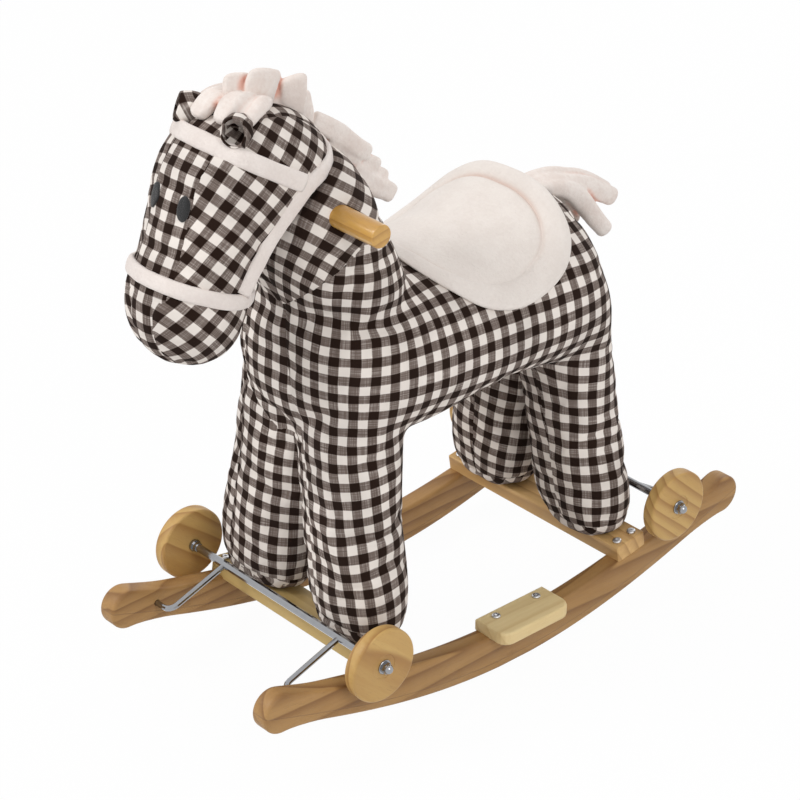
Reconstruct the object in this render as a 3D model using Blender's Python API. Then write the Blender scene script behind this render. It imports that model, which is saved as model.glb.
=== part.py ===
# Plush rocking horse on two wooden rockers, with two wheel sets that fold up or swing under.
# Metres, +Z up. The horse faces -Y and its left side is +X.
# In this file y is measured from the middle of the rockers. One empty then moves the whole
# horse so that the world origin lies under the middle of its outline.
import math

import bmesh
import bpy
from mathutils import Matrix, Vector
from mathutils.bvhtree import BVHTree

# Clearances
GAP = 0.0003                    # between two pieces that touch
RUNNING = 0.0003                # around a shaft that turns in its bore

# Cutters and searches
CUT_OVERRUN = 0.010             # how far a cutter sticks out of an open face
CUTTER_REACH = 0.500            # half size of a cutter that takes away a whole side
SEARCH_REACH = 0.300            # how far outside the skin a search for it starts
HEAD_MIDDLE_Y = -0.250          # a place well inside the head
HEAD_MIDDLE_Z = 0.500

# Rockers
ROCKER_THICKNESS = 0.021
ROCKER_OUTER_X = 0.127          # half the width over both rockers
ROCKER_DEPTH = 0.0402           # height of the bar at the middle
ROCKER_BOTTOM_RISE = 0.0700     # how far the lower edge climbs towards a tip
ROCKER_BOTTOM_EASE = 0.152      # how much that climb flattens off
ROCKER_TOP_RISE = 0.0613
ROCKER_TOP_EASE = 0.211
ROCKER_FLAT = 0.040             # level stretch of the lower edge
ROCKER_NECK_Y = 0.262           # where the curved bar meets the round tip
ROCKER_TIP_Y = 0.295
ROCKER_TIP_Z = 0.072
ROCKER_TIP_RADIUS = 0.0207
ROCKER_ROUND = 0.0028           # rounding of the long edges
ROCKER_STEPS = 8                # points along each half of an edge
ROCKER_TIP_STEPS = 9
ROCKER_TIP_START = math.radians(-112.0)
ROCKER_TIP_SWEEP = math.radians(234.0)

# Cross boards under the legs
BOARD_Y = 0.160
BOARD_WIDTH = 0.038
BOARD_THICKNESS = 0.018
BOARD_TILT = math.radians(9.0)  # each board follows the slope of the rocker
BOARD_SEAT = 0.002              # depth of its seat in the rocker
BOARD_END_INSET = 0.001
BOARD_ROUND = 0.0012
BOARD_SCREW_SPACING = 0.020

# Foot rests
FOOT_REST_Y = 0.009
FOOT_REST_LENGTH = 0.090
FOOT_REST_WIDTH = 0.0425
FOOT_REST_THICKNESS = 0.014
FOOT_REST_CORNER = 0.012
FOOT_REST_CORNER_STEPS = 4
FOOT_REST_ROUND = 0.002
FOOT_REST_SCREW_SPACING = 0.054
FOOT_REST_SEAT = 0.0006

# Wood screws
SCREW_HEAD_RADIUS = 0.0045
SCREW_HEAD_HEIGHT = 0.0022
SCREW_SHANK_RADIUS = 0.0020
SCREW_LENGTH = 0.034
FOOT_REST_SCREW_LENGTH = 0.030
SCREW_POINT = 0.004
SCREW_TIP_RADIUS = 0.0005
SCREW_HEAD_EDGE = 0.0011        # upright part of the head
SCREW_HEAD_TOP_RADIUS = 0.00315

# Bolts that hold the leg posts from below
BOLT_HEAD_RADIUS = 0.0065
BOLT_HEAD_HEIGHT = 0.0035
BOLT_SHANK_RADIUS = 0.0030
BOLT_HEAD_EDGE = 0.0021
BOLT_HEAD_TOP_RADIUS = 0.0039
BOLT_LENGTH = 0.048
BOLT_TIP_ROOM = 0.001
WASHER_RADIUS = 0.0090
WASHER_THICKNESS = 0.0015

# Wheel sets
FRONT_AXLE_Y = 0.1925           # folded up, the front axle lies against the legs
PIVOT_Z = 0.0665
ARM_LENGTH = 0.0735             # pivot axis to axle axis
FRONT_REST_ANGLE = math.radians(19.1)   # slope of the folded arm
REAR_REST_ANGLE = math.radians(32.6)
PIVOT_Y = FRONT_AXLE_Y + ARM_LENGTH * math.cos(FRONT_REST_ANGLE)
ARM_RADIUS = 0.0030
ARM_X = 0.086
ARM_BEND_RADIUS = 0.009
ARM_BEND_STEPS = 4
ARM_PIN_DEPTH = 0.012           # how far the arm reaches into the rocker
AXLE_RADIUS = 0.0040
WHEEL_RADIUS = 0.0375
WHEEL_THICKNESS = 0.0145
WHEEL_OUTER_X = 0.1505
WHEEL_ROUND = 0.0028
WHEEL_DISH = 0.0006             # the face is turned a little hollow around the hub
WHEEL_DISH_RADIUS = 0.0130
NUT_FLANGE_RADIUS = 0.0072
NUT_FLANGE_THICKNESS = 0.0012
AXLE_OVERHANG = 0.0060          # axle beyond the wheel's outer face, inside the nut
AXLE_CHAMFER = 0.0006
DOME_NUT_FLATS = 0.0100
DOME_NUT_HEX_HEIGHT = 0.0042
DOME_NUT_HEIGHT = 0.0090
DOME_STEP = 0.00015             # the dome starts a little inside the flats
DOME_ANGLES = (math.radians(10.0), math.radians(55.0))
COLLAR_LENGTH = 0.0075
COLLAR_RADIUS = 0.0050
COLLAR_FLANGE_RADIUS = 0.0064
COLLAR_FLANGE = 0.0030

# Handle
HANDLE_RADIUS = 0.0110
HANDLE_HALF_LENGTH = 0.130
HANDLE_Y = -0.176
HANDLE_Z = 0.5175
HANDLE_CHAMFER = 0.0020

# Inner wooden frame
LEG_X = 0.0665
FRONT_LEG_Y = -0.1505
REAR_LEG_Y = 0.1560
POST_WIDTH = 0.030
POST_DEPTH = 0.022
BODY_BOARD_Z = 0.335            # underside
BODY_BOARD_THICKNESS = 0.018
BODY_BOARD_HALF_WIDTH = 0.056
BODY_BOARD_FRONT_Y = -0.150
BODY_BOARD_REAR_Y = 0.148
NECK_BOARD_THICKNESS = 0.034
NECK_BOARD_WIDTH = 0.080
NECK_BOARD_FOOT_Y = -0.118
NECK_BOARD_TOP_MARGIN = 0.028   # board left above the handle
POST_ROOM_OVERRUN = 0.002       # the room in a leg reaches past both ends of its post

# Straps of the bridle and the pads
STRAP_HALF_WIDTH = 0.0065
STRAP_HALF_THICKNESS = 0.0040
STRAP_LIFT = 0.0010             # middle of a strap above the skin
NOSEBAND_Z = 0.4603             # height of each band at y below, and its slope there
NOSEBAND_Y = -0.277
NOSEBAND_SLOPE = -0.40
CROWN_Z = 0.5650
CROWN_Y = -0.120
CROWN_SLOPE = 0.153
CROWN_MIDDLE_Y = -0.185
CROWN_OVERRUN = math.radians(13.0)      # how far it reaches past a half turn at each end
CROWN_STEPS = 12
CHEEK_STEPS = 5
NOSEBAND_STEPS = 20
BROWBAND_SLOPE = -0.62
BROWBAND_SETBACK = 0.004        # its middle lies this far ahead of the cheek strap's top
BROWBAND_OVERRUN = math.radians(5.0)
BROWBAND_STEPS = 14
CHEEK_TOP_Y = -0.2026           # where the cheek strap turns towards the poll
CHEEK_FOOT_Y = -0.2704
CHEEK_FOOT_Z = 0.4649
CHEEK_LEAST_X = 0.052           # the cheek strap bridges the hollow behind the jaw
SADDLE_THICKNESS = 0.0075
SADDLE_RIM = 0.0045             # how much thicker the rim is
SADDLE_SINK = 0.004             # part of the blank that the torso takes away
SADDLE_MIDDLE_Y = 0.026
SADDLE_SWEEP = 0.018            # how far its lower ends lie behind its middle
SADDLE_HALF_LENGTH = 0.088
SADDLE_REACH = 0.124            # from the ridge down each side, along the cloth
SADDLE_SQUARENESS = 2.5
SADDLE_SIDES = 28
SADDLE_EDGE_SHARE = 0.965       # shares below run from 0 in the middle to 1 at the edge
SADDLE_UNDERSIDE = (0.25, 0.50, 0.75)
SADDLE_RIM_PROFILE = [          # share, height as a part of the rim's
    (1.000, 0.45),
    (0.985, 0.85),
    (0.950, 1.00),
    (0.900, 0.85),
]
SADDLE_FIELD_PROFILE = [        # share, height as a part of the thickness, from the groove inwards
    (0.865, 0.75),
    (0.800, 1.00),
    (0.620, 1.10),
    (0.420, 1.10),
    (0.200, 1.10),
]
SKIN_STEPS = 60                 # steps along the cloth from ridge to belly
EYE_HALF_WIDTH = 0.0066
EYE_HALF_HEIGHT = 0.0115
EYE_THICKNESS = 0.0025
EYE_SINK = 0.002
EYE_EDGE = 0.0015               # upright part of its edge
EYE_FACE_SHARE = 0.82
EYE_SIDES = 16
EYE_X = 0.0200
EYE_Z = 0.5460
EAR_BASE = (0.029, -0.250, 0.602)
EAR_AXIS = (0.60, -0.46, 0.60)
EAR_SIDES = 12
EAR_STATIONS = [                # distance along the ear, half width, half thickness
    (-0.006, 0.0100, 0.0070),
    (0.006, 0.0140, 0.0100),
    (0.016, 0.0160, 0.0115),
    (0.024, 0.0125, 0.0085),
    (0.029, 0.0050, 0.0035),
]

# Mane, forelock and tail of folded plush
MANE_CREST = [                  # y, top, half width, sideways swing of each fold
    (-0.238, 0.628, 0.0060, 0.000),
    (-0.232, 0.643, 0.0085, 0.003),
    (-0.214, 0.647, 0.0090, 0.004),
    (-0.200, 0.6415, 0.0080, 0.002),
    (-0.187, 0.6300, 0.0065, -0.003),
    (-0.176, 0.6290, 0.0085, -0.004),
    (-0.164, 0.6255, 0.0085, -0.003),
    (-0.157, 0.6170, 0.0070, 0.001),
    (-0.150, 0.6030, 0.0080, 0.003),
    (-0.1425, 0.5860, 0.0060, 0.002),
]
MANE_CREST_ROOT_DROP = 0.050    # its root is hidden in the head's seam
MANE_CREST_SQUARENESS = 2.8
TUFT_SIDES = 12
FORELOCK = [                    # y, half width, rise above the head
    (-0.266, 0.010, 0.004),
    (-0.256, 0.022, 0.009),
    (-0.240, 0.029, 0.010),
    (-0.222, 0.030, 0.010),
    (-0.206, 0.022, 0.007),
]
FORELOCK_SINK = 0.004
MANE_BACK_TOP = (-0.126, 0.566)     # y and z of the neck's crest where the mane starts
MANE_BACK_FOOT = (-0.093, 0.482)
MANE_BACK_LOCKS = 5
MANE_BACK_ROOT_RISE = 0.016
MANE_BACK_TIP_RISE = 0.030
MANE_BACK_HALF_WIDTH = 0.016
MANE_BACK_HANG = 0.012          # how far the middle of a lock's tip hangs below its root
MANE_BACK_SINK = 0.006
MANE_BACK_SWING = 0.003         # locks swing left and right in turn
MANE_BACK_PROFILE = [           # share of a lock's length, rise there
    (0.05, MANE_BACK_ROOT_RISE),
    (0.80, MANE_BACK_TIP_RISE),
    (0.97, MANE_BACK_TIP_RISE * 0.85),
]
MANE_BACK_GAIN = 0.4            # how much further the lowest lock stands out than the top one
MANE_BACK_FIRST = (0.45, 0.50)  # the top lock is lower: part of the rise at its root, and gain to its tip
LOCK_SQUARENESS = 2.4
TAIL_LOCK_UP = (0.0, 0.4, 1.0)
TAIL_LOCKS = [                  # sideways place, then y, z, half width, half thickness along each lock
    (0.000, [(0.124, 0.424, 0.011, 0.005), (0.150, 0.4330, 0.015, 0.0065), (0.176, 0.4280, 0.016, 0.007),
             (0.203, 0.414, 0.016, 0.007), (0.226, 0.3985, 0.014, 0.0065), (0.2385, 0.386, 0.008, 0.0045)]),
    (0.011, [(0.126, 0.416, 0.012, 0.0060), (0.150, 0.4215, 0.014, 0.0070), (0.178, 0.4080, 0.015, 0.0070),
             (0.201, 0.387, 0.015, 0.007), (0.216, 0.366, 0.014, 0.0065), (0.222, 0.352, 0.008, 0.0045)]),
    (-0.011, [(0.126, 0.415, 0.012, 0.0060), (0.150, 0.4205, 0.014, 0.0070), (0.174, 0.4040, 0.014, 0.0070),
              (0.193, 0.379, 0.014, 0.007), (0.204, 0.359, 0.012, 0.006), (0.208, 0.347, 0.007, 0.004)]),
]

LEG_SIDES = 16
BODY_SIDES = 22
HEAD_SIDES = 20
ROUND_SIDES = 10
SHAFT_SIDES = 12
WHEEL_SIDES = 24
SCREW_SIDES = 8
HANDLE_SIDES = 20
LOCK_SIDES = 10
STRAP_SIDES = 8
STRAP_SQUARENESS = 2.6

# The torso, from chest to rump: y, underside, height of the widest line, back, half width
TORSO_STATIONS = [
    (-0.188, 0.312, 0.350, 0.385, 0.038),
    (-0.180, 0.290, 0.350, 0.412, 0.066),
    (-0.162, 0.272, 0.345, 0.430, 0.088),
    (-0.125, 0.264, 0.335, 0.433, 0.100),
    (-0.070, 0.268, 0.330, 0.423, 0.104),
    (-0.015, 0.271, 0.330, 0.419, 0.105),
    (0.035, 0.271, 0.330, 0.425, 0.105),
    (0.075, 0.267, 0.330, 0.438, 0.105),
    (0.110, 0.258, 0.328, 0.443, 0.103),
    (0.140, 0.252, 0.322, 0.426, 0.098),
    (0.162, 0.252, 0.315, 0.383, 0.086),
    (0.178, 0.262, 0.308, 0.345, 0.064),
    (0.186, 0.282, 0.303, 0.320, 0.036),
]
TORSO_BACK_SQUARENESS = 2.05
TORSO_BELLY_SQUARENESS = 2.6

# The neck from shoulder to poll: z, front, back, half width
NECK_STATIONS = [
    (0.395, -0.180, -0.060, 0.074),
    (0.425, -0.194, -0.066, 0.082),
    (0.455, -0.208, -0.080, 0.082),
    (0.485, -0.218, -0.094, 0.079),
    (0.515, -0.222, -0.106, 0.076),
    (0.540, -0.218, -0.122, 0.068),
    (0.558, -0.205, -0.136, 0.056),
]
NECK_SQUARENESS = 2.1

# The head from chin to poll: z, front, back, half width
HEAD_STATIONS = [
    (0.390, -0.303, -0.268, 0.016),
    (0.398, -0.321, -0.254, 0.032),
    (0.414, -0.335, -0.245, 0.0445),
    (0.436, -0.3425, -0.239, 0.0515),
    (0.460, -0.342, -0.233, 0.0535),
    (0.483, -0.332, -0.222, 0.0540),
    (0.506, -0.320, -0.203, 0.0565),
    (0.529, -0.312, -0.176, 0.0610),
    (0.550, -0.306, -0.146, 0.0645),
    (0.570, -0.298, -0.146, 0.0625),
    (0.587, -0.284, -0.160, 0.0550),
    (0.601, -0.268, -0.180, 0.0420),
    (0.610, -0.248, -0.203, 0.0220),
]
HEAD_SQUARENESS = 2.35

# The legs above their board: height, half width, half depth
FRONT_LEG_STATIONS = [
    (-0.012, 0.0330, 0.0235),
    (0.000, 0.0400, 0.0285),
    (0.010, 0.0465, 0.0330),
    (0.024, 0.0520, 0.0365),
    (0.042, 0.0550, 0.0390),
    (0.062, 0.0555, 0.0405),
    (0.100, 0.0545, 0.0420),
    (0.150, 0.0545, 0.0435),
    (0.195, 0.0550, 0.0450),
    (0.235, 0.0510, 0.0460),
    (0.265, 0.0400, 0.0400),
    (0.280, 0.0240, 0.0260),
]
REAR_LEG_STATIONS = [
    (-0.012, 0.0330, 0.0240),
    (0.000, 0.0400, 0.0295),
    (0.010, 0.0465, 0.0340),
    (0.024, 0.0520, 0.0375),
    (0.042, 0.0545, 0.0400),
    (0.062, 0.0540, 0.0405),
    (0.100, 0.0510, 0.0395),
    (0.150, 0.0500, 0.0405),
    (0.195, 0.0530, 0.0435),
    (0.235, 0.0505, 0.0450),
    (0.265, 0.0390, 0.0395),
    (0.280, 0.0240, 0.0260),
]
LEG_SPLAY = 0.12                # how far a leg leans inwards per unit of height
FRONT_LEG_RAKE = 0.06           # and how far it leans towards the middle of the horse
REAR_LEG_RAKE = 0.10
LEG_SQUARENESS = 2.25


def clear_scene():
    for item in list(bpy.data.objects):
        bpy.data.objects.remove(item, do_unlink=True)


def make_material(name, color, roughness, metallic=0.0):
    material = bpy.data.materials.new(name)
    material.use_nodes = True
    shader = material.node_tree.nodes["Principled BSDF"]
    shader.inputs["Base Color"].default_value = (*color, 1.0)
    shader.inputs["Roughness"].default_value = roughness
    shader.inputs["Metallic"].default_value = metallic
    return material


def finish(name, bm, material=None, smooth=40.0):
    """Turn a bmesh into a named object with its faces pointing out."""
    bmesh.ops.remove_doubles(bm, verts=bm.verts, dist=0.000002)
    bmesh.ops.recalc_face_normals(bm, faces=bm.faces)
    mesh = bpy.data.meshes.new(name)
    bm.to_mesh(mesh)
    bm.free()
    mesh.shade_smooth()
    mesh.set_sharp_from_angle(angle=math.radians(smooth))
    item = bpy.data.objects.new(name, mesh)
    bpy.context.scene.collection.objects.link(item)
    if material is not None:
        mesh.materials.append(material)
    return item


def as_cutter(item):
    item.hide_render = True
    item.display_type = 'WIRE'
    return item


def cut(item, *cutters):
    for cutter in cutters:
        modifier = item.modifiers.new("cut " + cutter.name, 'BOOLEAN')
        modifier.operation = 'DIFFERENCE'
        modifier.solver = 'EXACT'
        modifier.object = cutter


def join(item, other):
    modifier = item.modifiers.new("join " + other.name, 'BOOLEAN')
    modifier.operation = 'UNION'
    modifier.solver = 'EXACT'
    modifier.object = as_cutter(other)


def bridge(bm, low, high):
    """Triangles between two rings; the diagonals always run the same way, as in a grown copy."""
    count = len(low)
    for i in range(count):
        j = (i + 1) % count
        bm.faces.new((low[i], low[j], high[j]))
        bm.faces.new((low[i], high[j], high[i]))


def loft(bm, rings, closed=False):
    """Bridge rings of points; the ends are capped unless the loft closes on itself."""
    rows = [[bm.verts.new(point) for point in ring] for ring in rings]
    for low, high in zip(rows, rows[1:]):
        bridge(bm, low, high)
    if closed:
        bridge(bm, rows[-1], rows[0])
    else:
        bm.faces.new(list(reversed(rows[0])))
        bm.faces.new(rows[-1])


def bend_power(value, squareness):
    return math.copysign(abs(value) ** (2.0 / squareness), value)


def oval(half_a, half_b, sides, squareness=2.0, turn=0.0):
    """Points of a superellipse in its own plane."""
    points = []
    for i in range(sides):
        angle = turn + 2.0 * math.pi * i / sides
        points.append((half_a * bend_power(math.cos(angle), squareness),
                       half_b * bend_power(math.sin(angle), squareness)))
    return points


def turned(bm, profile, sides, centre=(0.0, 0.0), bored=False):
    """Revolve (x, radius) points about an axis along X through centre (y, z)."""
    rings = []
    for x, radius in profile:
        ring = []
        for i in range(sides):
            angle = 2.0 * math.pi * (i + 0.5) / sides
            ring.append((x, centre[0] + radius * math.cos(angle), centre[1] + radius * math.sin(angle)))
        rings.append(ring)
    loft(bm, rings, closed=bored)


def rod_between(bm, start, end, radius, sides):
    start, end = Vector(start), Vector(end)
    direction = (end - start).normalized()
    turn = direction.to_track_quat('X', 'Z').to_matrix()
    rings = []
    for centre in (start, end):
        rings.append([centre + turn @ Vector((0.0, radius * math.cos(a), radius * math.sin(a)))
                      for a in [2.0 * math.pi * (i + 0.5) / sides for i in range(sides)]])
    loft(bm, rings)


def tube(bm, points, half_a, half_b, sides, closed=False, upward=None, squareness=2.0):
    """Sweep an oval along points; upward gives the direction of half_b at each point."""
    points = [Vector(p) for p in points]
    count = len(points)
    rings = []
    normal = None
    for i, point in enumerate(points):
        ahead = points[(i + 1) % count] if closed or i < count - 1 else point
        behind = points[i - 1] if closed or i > 0 else point
        tangent = (ahead - behind).normalized()
        if upward is not None:
            normal = upward[i]
        elif normal is None:
            normal = Vector((0.0, 0.0, 1.0)) if abs(tangent.z) < 0.9 else Vector((1.0, 0.0, 0.0))
        normal = (normal - tangent * normal.dot(tangent)).normalized()
        side = tangent.cross(normal)
        a = half_a[i] if isinstance(half_a, list) else half_a
        b = half_b[i] if isinstance(half_b, list) else half_b
        rings.append([point + side * u + normal * v for u, v in oval(a, b, sides, squareness)])
    loft(bm, rings, closed)


def box(bm, low, high, matrix=None):
    made = bmesh.ops.create_cube(bm, size=1.0)["verts"]
    for vert in made:
        vert.co = Vector([low[k] + (vert.co[k] + 0.5) * (high[k] - low[k]) for k in range(3)])
    if matrix is not None:
        bmesh.ops.transform(bm, matrix=matrix, verts=made)
    return made


# Rockers

def rocker_bottom(y):
    t = y / ROCKER_TIP_Y
    flat = ROCKER_FLAT / 2.0 / ROCKER_TIP_Y
    rise = ROCKER_BOTTOM_RISE * t * t * (1.0 - ROCKER_BOTTOM_EASE * t * t)
    return rise - ROCKER_BOTTOM_RISE * flat * flat


def rocker_top(y):
    t = y / ROCKER_TIP_Y
    return ROCKER_DEPTH + ROCKER_TOP_RISE * t * t * (1.0 - ROCKER_TOP_EASE * t * t)


def rocker_outline():
    half_flat = ROCKER_FLAT / 2.0
    right = []
    for i in range(ROCKER_STEPS + 1):
        y = half_flat + (ROCKER_NECK_Y - half_flat) * i / ROCKER_STEPS
        right.append((y, rocker_bottom(y)))
    for i in range(ROCKER_TIP_STEPS + 1):
        angle = ROCKER_TIP_START + ROCKER_TIP_SWEEP * i / ROCKER_TIP_STEPS
        right.append((ROCKER_TIP_Y + ROCKER_TIP_RADIUS * math.cos(angle),
                      ROCKER_TIP_Z + ROCKER_TIP_RADIUS * math.sin(angle)))
    for i in range(ROCKER_STEPS):
        y = ROCKER_NECK_Y * (1.0 - i / ROCKER_STEPS)
        right.append((y, rocker_top(y)))
    left = [(-y, z) for y, z in reversed(right)]
    return right + [(0.0, rocker_top(0.0))] + left


def make_rocker(name, side, material):
    bm = bmesh.new()
    inner = ROCKER_OUTER_X - ROCKER_THICKNESS
    points = rocker_outline()
    face = bm.faces.new([bm.verts.new((side * inner, y, z)) for y, z in points])
    grown = bmesh.ops.extrude_face_region(bm, geom=[face])["geom"]
    moved = [v for v in grown if isinstance(v, bmesh.types.BMVert)]
    bmesh.ops.translate(bm, verts=moved, vec=(side * ROCKER_THICKNESS, 0.0, 0.0))
    rims = [e for e in bm.edges if abs(e.verts[0].co.x - e.verts[1].co.x) < 1e-6]
    bmesh.ops.bevel(bm, geom=rims, offset=ROCKER_ROUND, offset_type='OFFSET', affect='EDGES',
                    segments=2, profile=0.5, material=-1, clamp_overlap=True)
    return finish(name, bm, material, smooth=30.0)


def pivot_bores(name, sign):
    """Blind bores in both rockers, seen from between them."""
    bm = bmesh.new()
    inner = ROCKER_OUTER_X - ROCKER_THICKNESS
    radius = ARM_RADIUS + RUNNING
    for side in (-1.0, 1.0):
        turned(bm, [(side * (inner - CUT_OVERRUN), radius), (side * (inner + ARM_PIN_DEPTH + GAP), radius)],
               ROUND_SIDES, (sign * PIVOT_Y, PIVOT_Z))
    return as_cutter(finish(name, bm))


# Cross boards

def board_matrix(sign):
    seat_z = rocker_top(BOARD_Y) - BOARD_SEAT
    centre = Vector((0.0, sign * BOARD_Y, seat_z + BOARD_THICKNESS / 2.0))
    return Matrix.Translation(centre) @ Matrix.Rotation(sign * BOARD_TILT, 4, 'X')


def board_top_z(sign, y):
    """Height of the board's top plane at a given y."""
    matrix = board_matrix(sign)
    top = matrix @ Vector((0.0, 0.0, BOARD_THICKNESS / 2.0))
    return top.z + (y - top.y) * math.tan(sign * BOARD_TILT)


def board_half_length():
    return ROCKER_OUTER_X - BOARD_END_INSET


def make_board(name, sign, material):
    bm = bmesh.new()
    half = (board_half_length(), BOARD_WIDTH / 2.0, BOARD_THICKNESS / 2.0)
    box(bm, [-h for h in half], half, board_matrix(sign))
    bmesh.ops.bevel(bm, geom=bm.edges[:], offset=BOARD_ROUND, offset_type='OFFSET', affect='EDGES',
                    segments=1, profile=0.5, material=-1)
    return finish(name, bm, material, smooth=30.0)


def board_seat(name, sign):
    bm = bmesh.new()
    half = (board_half_length() + CUT_OVERRUN, BOARD_WIDTH / 2.0 + GAP, BOARD_THICKNESS / 2.0 + GAP)
    low = [-h for h in half]
    box(bm, low, (half[0], half[1], BOARD_THICKNESS * 2.0), board_matrix(sign))
    return as_cutter(finish(name, bm))


def rocker_middle_x():
    return ROCKER_OUTER_X - ROCKER_THICKNESS / 2.0


def board_screw_places(sign):
    matrix = board_matrix(sign)
    places = []
    for side in (-1.0, 1.0):
        for along in (-0.5, 0.5):
            local = Vector((side * rocker_middle_x(), along * BOARD_SCREW_SPACING, BOARD_THICKNESS / 2.0))
            places.append((matrix @ local, (matrix.to_3x3() @ Vector((0.0, 0.0, 1.0))).normalized()))
    return places


def make_screw(name, place, up, length, material):
    """Pan head over a shank that ends in a short point."""
    matrix = Matrix.Translation(place) @ up.to_track_quat('X', 'Y').to_matrix().to_4x4()
    head, shank = SCREW_HEAD_RADIUS, SCREW_SHANK_RADIUS
    profile = [(-length, SCREW_TIP_RADIUS), (-length + SCREW_POINT, shank), (GAP, shank), (GAP, head),
               (SCREW_HEAD_EDGE, head), (SCREW_HEAD_HEIGHT, SCREW_HEAD_TOP_RADIUS)]
    bm = bmesh.new()
    turned(bm, profile, SCREW_SIDES)
    bmesh.ops.transform(bm, matrix=matrix, verts=bm.verts)
    return finish(name, bm, material)


def hole_cutter(name, places, radius, depth, above):
    bm = bmesh.new()
    for place, up in places:
        rod_between(bm, place - up * depth, place + up * above, radius, SCREW_SIDES)
    return as_cutter(finish(name, bm))


def foot_rest_top_z():
    return rocker_top(FOOT_REST_Y) - FOOT_REST_SEAT + FOOT_REST_THICKNESS


def foot_screw_places():
    top = foot_rest_top_z()
    return [(Vector((side * rocker_middle_x(), FOOT_REST_Y + along * FOOT_REST_SCREW_SPACING, top)),
             Vector((0.0, 0.0, 1.0))) for side in (-1.0, 1.0) for along in (-0.5, 0.5)]


def foot_rest_outline(side, grow=0.0):
    inner = ROCKER_OUTER_X - ROCKER_THICKNESS - grow
    outer = ROCKER_OUTER_X - ROCKER_THICKNESS + FOOT_REST_WIDTH + grow
    half = FOOT_REST_LENGTH / 2.0 + grow
    points = [(inner, FOOT_REST_Y - half)]
    for start, centre_sign in ((-90.0, -1.0), (0.0, 1.0)):
        centre = (outer - FOOT_REST_CORNER, FOOT_REST_Y + centre_sign * (half - FOOT_REST_CORNER))
        for i in range(FOOT_REST_CORNER_STEPS + 1):
            angle = math.radians(start + 90.0 * i / FOOT_REST_CORNER_STEPS)
            points.append((centre[0] + FOOT_REST_CORNER * math.cos(angle),
                           centre[1] + FOOT_REST_CORNER * math.sin(angle)))
    points.append((inner, FOOT_REST_Y + half))
    return [(side * x, y) for x, y in points]


def foot_rest_solid(bm, side, low_z, high_z, rounding, grow=0.0):
    face = bm.faces.new([bm.verts.new((x, y, low_z)) for x, y in foot_rest_outline(side, grow)])
    grown = bmesh.ops.extrude_face_region(bm, geom=[face])["geom"]
    moved = [v for v in grown if isinstance(v, bmesh.types.BMVert)]
    bmesh.ops.translate(bm, verts=moved, vec=(0.0, 0.0, high_z - low_z))
    if rounding > 0.0:
        rims = [e for e in bm.edges if abs(e.verts[0].co.z - e.verts[1].co.z) < 1e-6]
        bmesh.ops.bevel(bm, geom=rims, offset=rounding, offset_type='OFFSET', affect='EDGES',
                        segments=2, profile=0.5, material=-1)


def make_foot_rest(name, side, material):
    bm = bmesh.new()
    top = foot_rest_top_z()
    foot_rest_solid(bm, side, top - FOOT_REST_THICKNESS, top, FOOT_REST_ROUND)
    return finish(name, bm, material, smooth=35.0)


def foot_rest_seats():
    bm = bmesh.new()
    top = foot_rest_top_z()
    for side in (-1.0, 1.0):
        foot_rest_solid(bm, side, top - FOOT_REST_THICKNESS - GAP, top + CUT_OVERRUN, 0.0, GAP)
    return as_cutter(finish("foot rest seats", bm))


# Wheel sets

def axle_place(sign):
    """Centre (y, z) of the axle with the wheel set folded up against the legs."""
    angle = FRONT_REST_ANGLE if sign < 0 else REAR_REST_ANGLE
    return (sign * (PIVOT_Y - ARM_LENGTH * math.cos(angle)), PIVOT_Z + ARM_LENGTH * math.sin(angle))


def axle_profile():
    """Axle with the stepped collars that hold the wheels off the arms."""
    end = WHEEL_OUTER_X + AXLE_OVERHANG
    collar_end = WHEEL_OUTER_X - WHEEL_THICKNESS - GAP
    flange_start = collar_end - COLLAR_FLANGE
    collar_start = collar_end - COLLAR_LENGTH
    half = [(collar_start, AXLE_RADIUS), (collar_start, COLLAR_RADIUS), (flange_start, COLLAR_RADIUS),
            (flange_start, COLLAR_FLANGE_RADIUS), (collar_end, COLLAR_FLANGE_RADIUS),
            (collar_end, AXLE_RADIUS), (end - AXLE_CHAMFER, AXLE_RADIUS), (end, AXLE_RADIUS - AXLE_CHAMFER)]
    return [(-x, radius) for x, radius in reversed(half)] + half


def arm_route(sign, side):
    """Straight wire from the middle of the axle to a round bend, then outwards into the rocker."""
    axle = Vector((side * ARM_X, *axle_place(sign)))
    pivot = Vector((side * ARM_X, sign * PIVOT_Y, PIVOT_Z))
    along = (pivot - axle).normalized()
    outwards = Vector((side, 0.0, 0.0))
    corner = pivot - along * ARM_BEND_RADIUS
    points = [axle, corner]
    bend_centre = corner + outwards * ARM_BEND_RADIUS
    for i in range(1, ARM_BEND_STEPS + 1):
        angle = math.pi / 2.0 * i / ARM_BEND_STEPS
        points.append(bend_centre - outwards * ARM_BEND_RADIUS * math.cos(angle)
                      + along * ARM_BEND_RADIUS * math.sin(angle))
    inner = ROCKER_OUTER_X - ROCKER_THICKNESS
    points.append(Vector((side * (inner + ARM_PIN_DEPTH), sign * PIVOT_Y, PIVOT_Z)))
    return points


def make_wheel_frame(name, sign, material):
    """Axle and its two bent arms, welded into one frame."""
    bm = bmesh.new()
    turned(bm, axle_profile(), SHAFT_SIDES, axle_place(sign))
    frame = finish(name, bm, material)
    for side in (-1.0, 1.0):
        bm = bmesh.new()
        tube(bm, arm_route(sign, side), ARM_RADIUS, ARM_RADIUS, ROUND_SIDES)
        join(frame, finish("arm", bm))
    return frame


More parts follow.
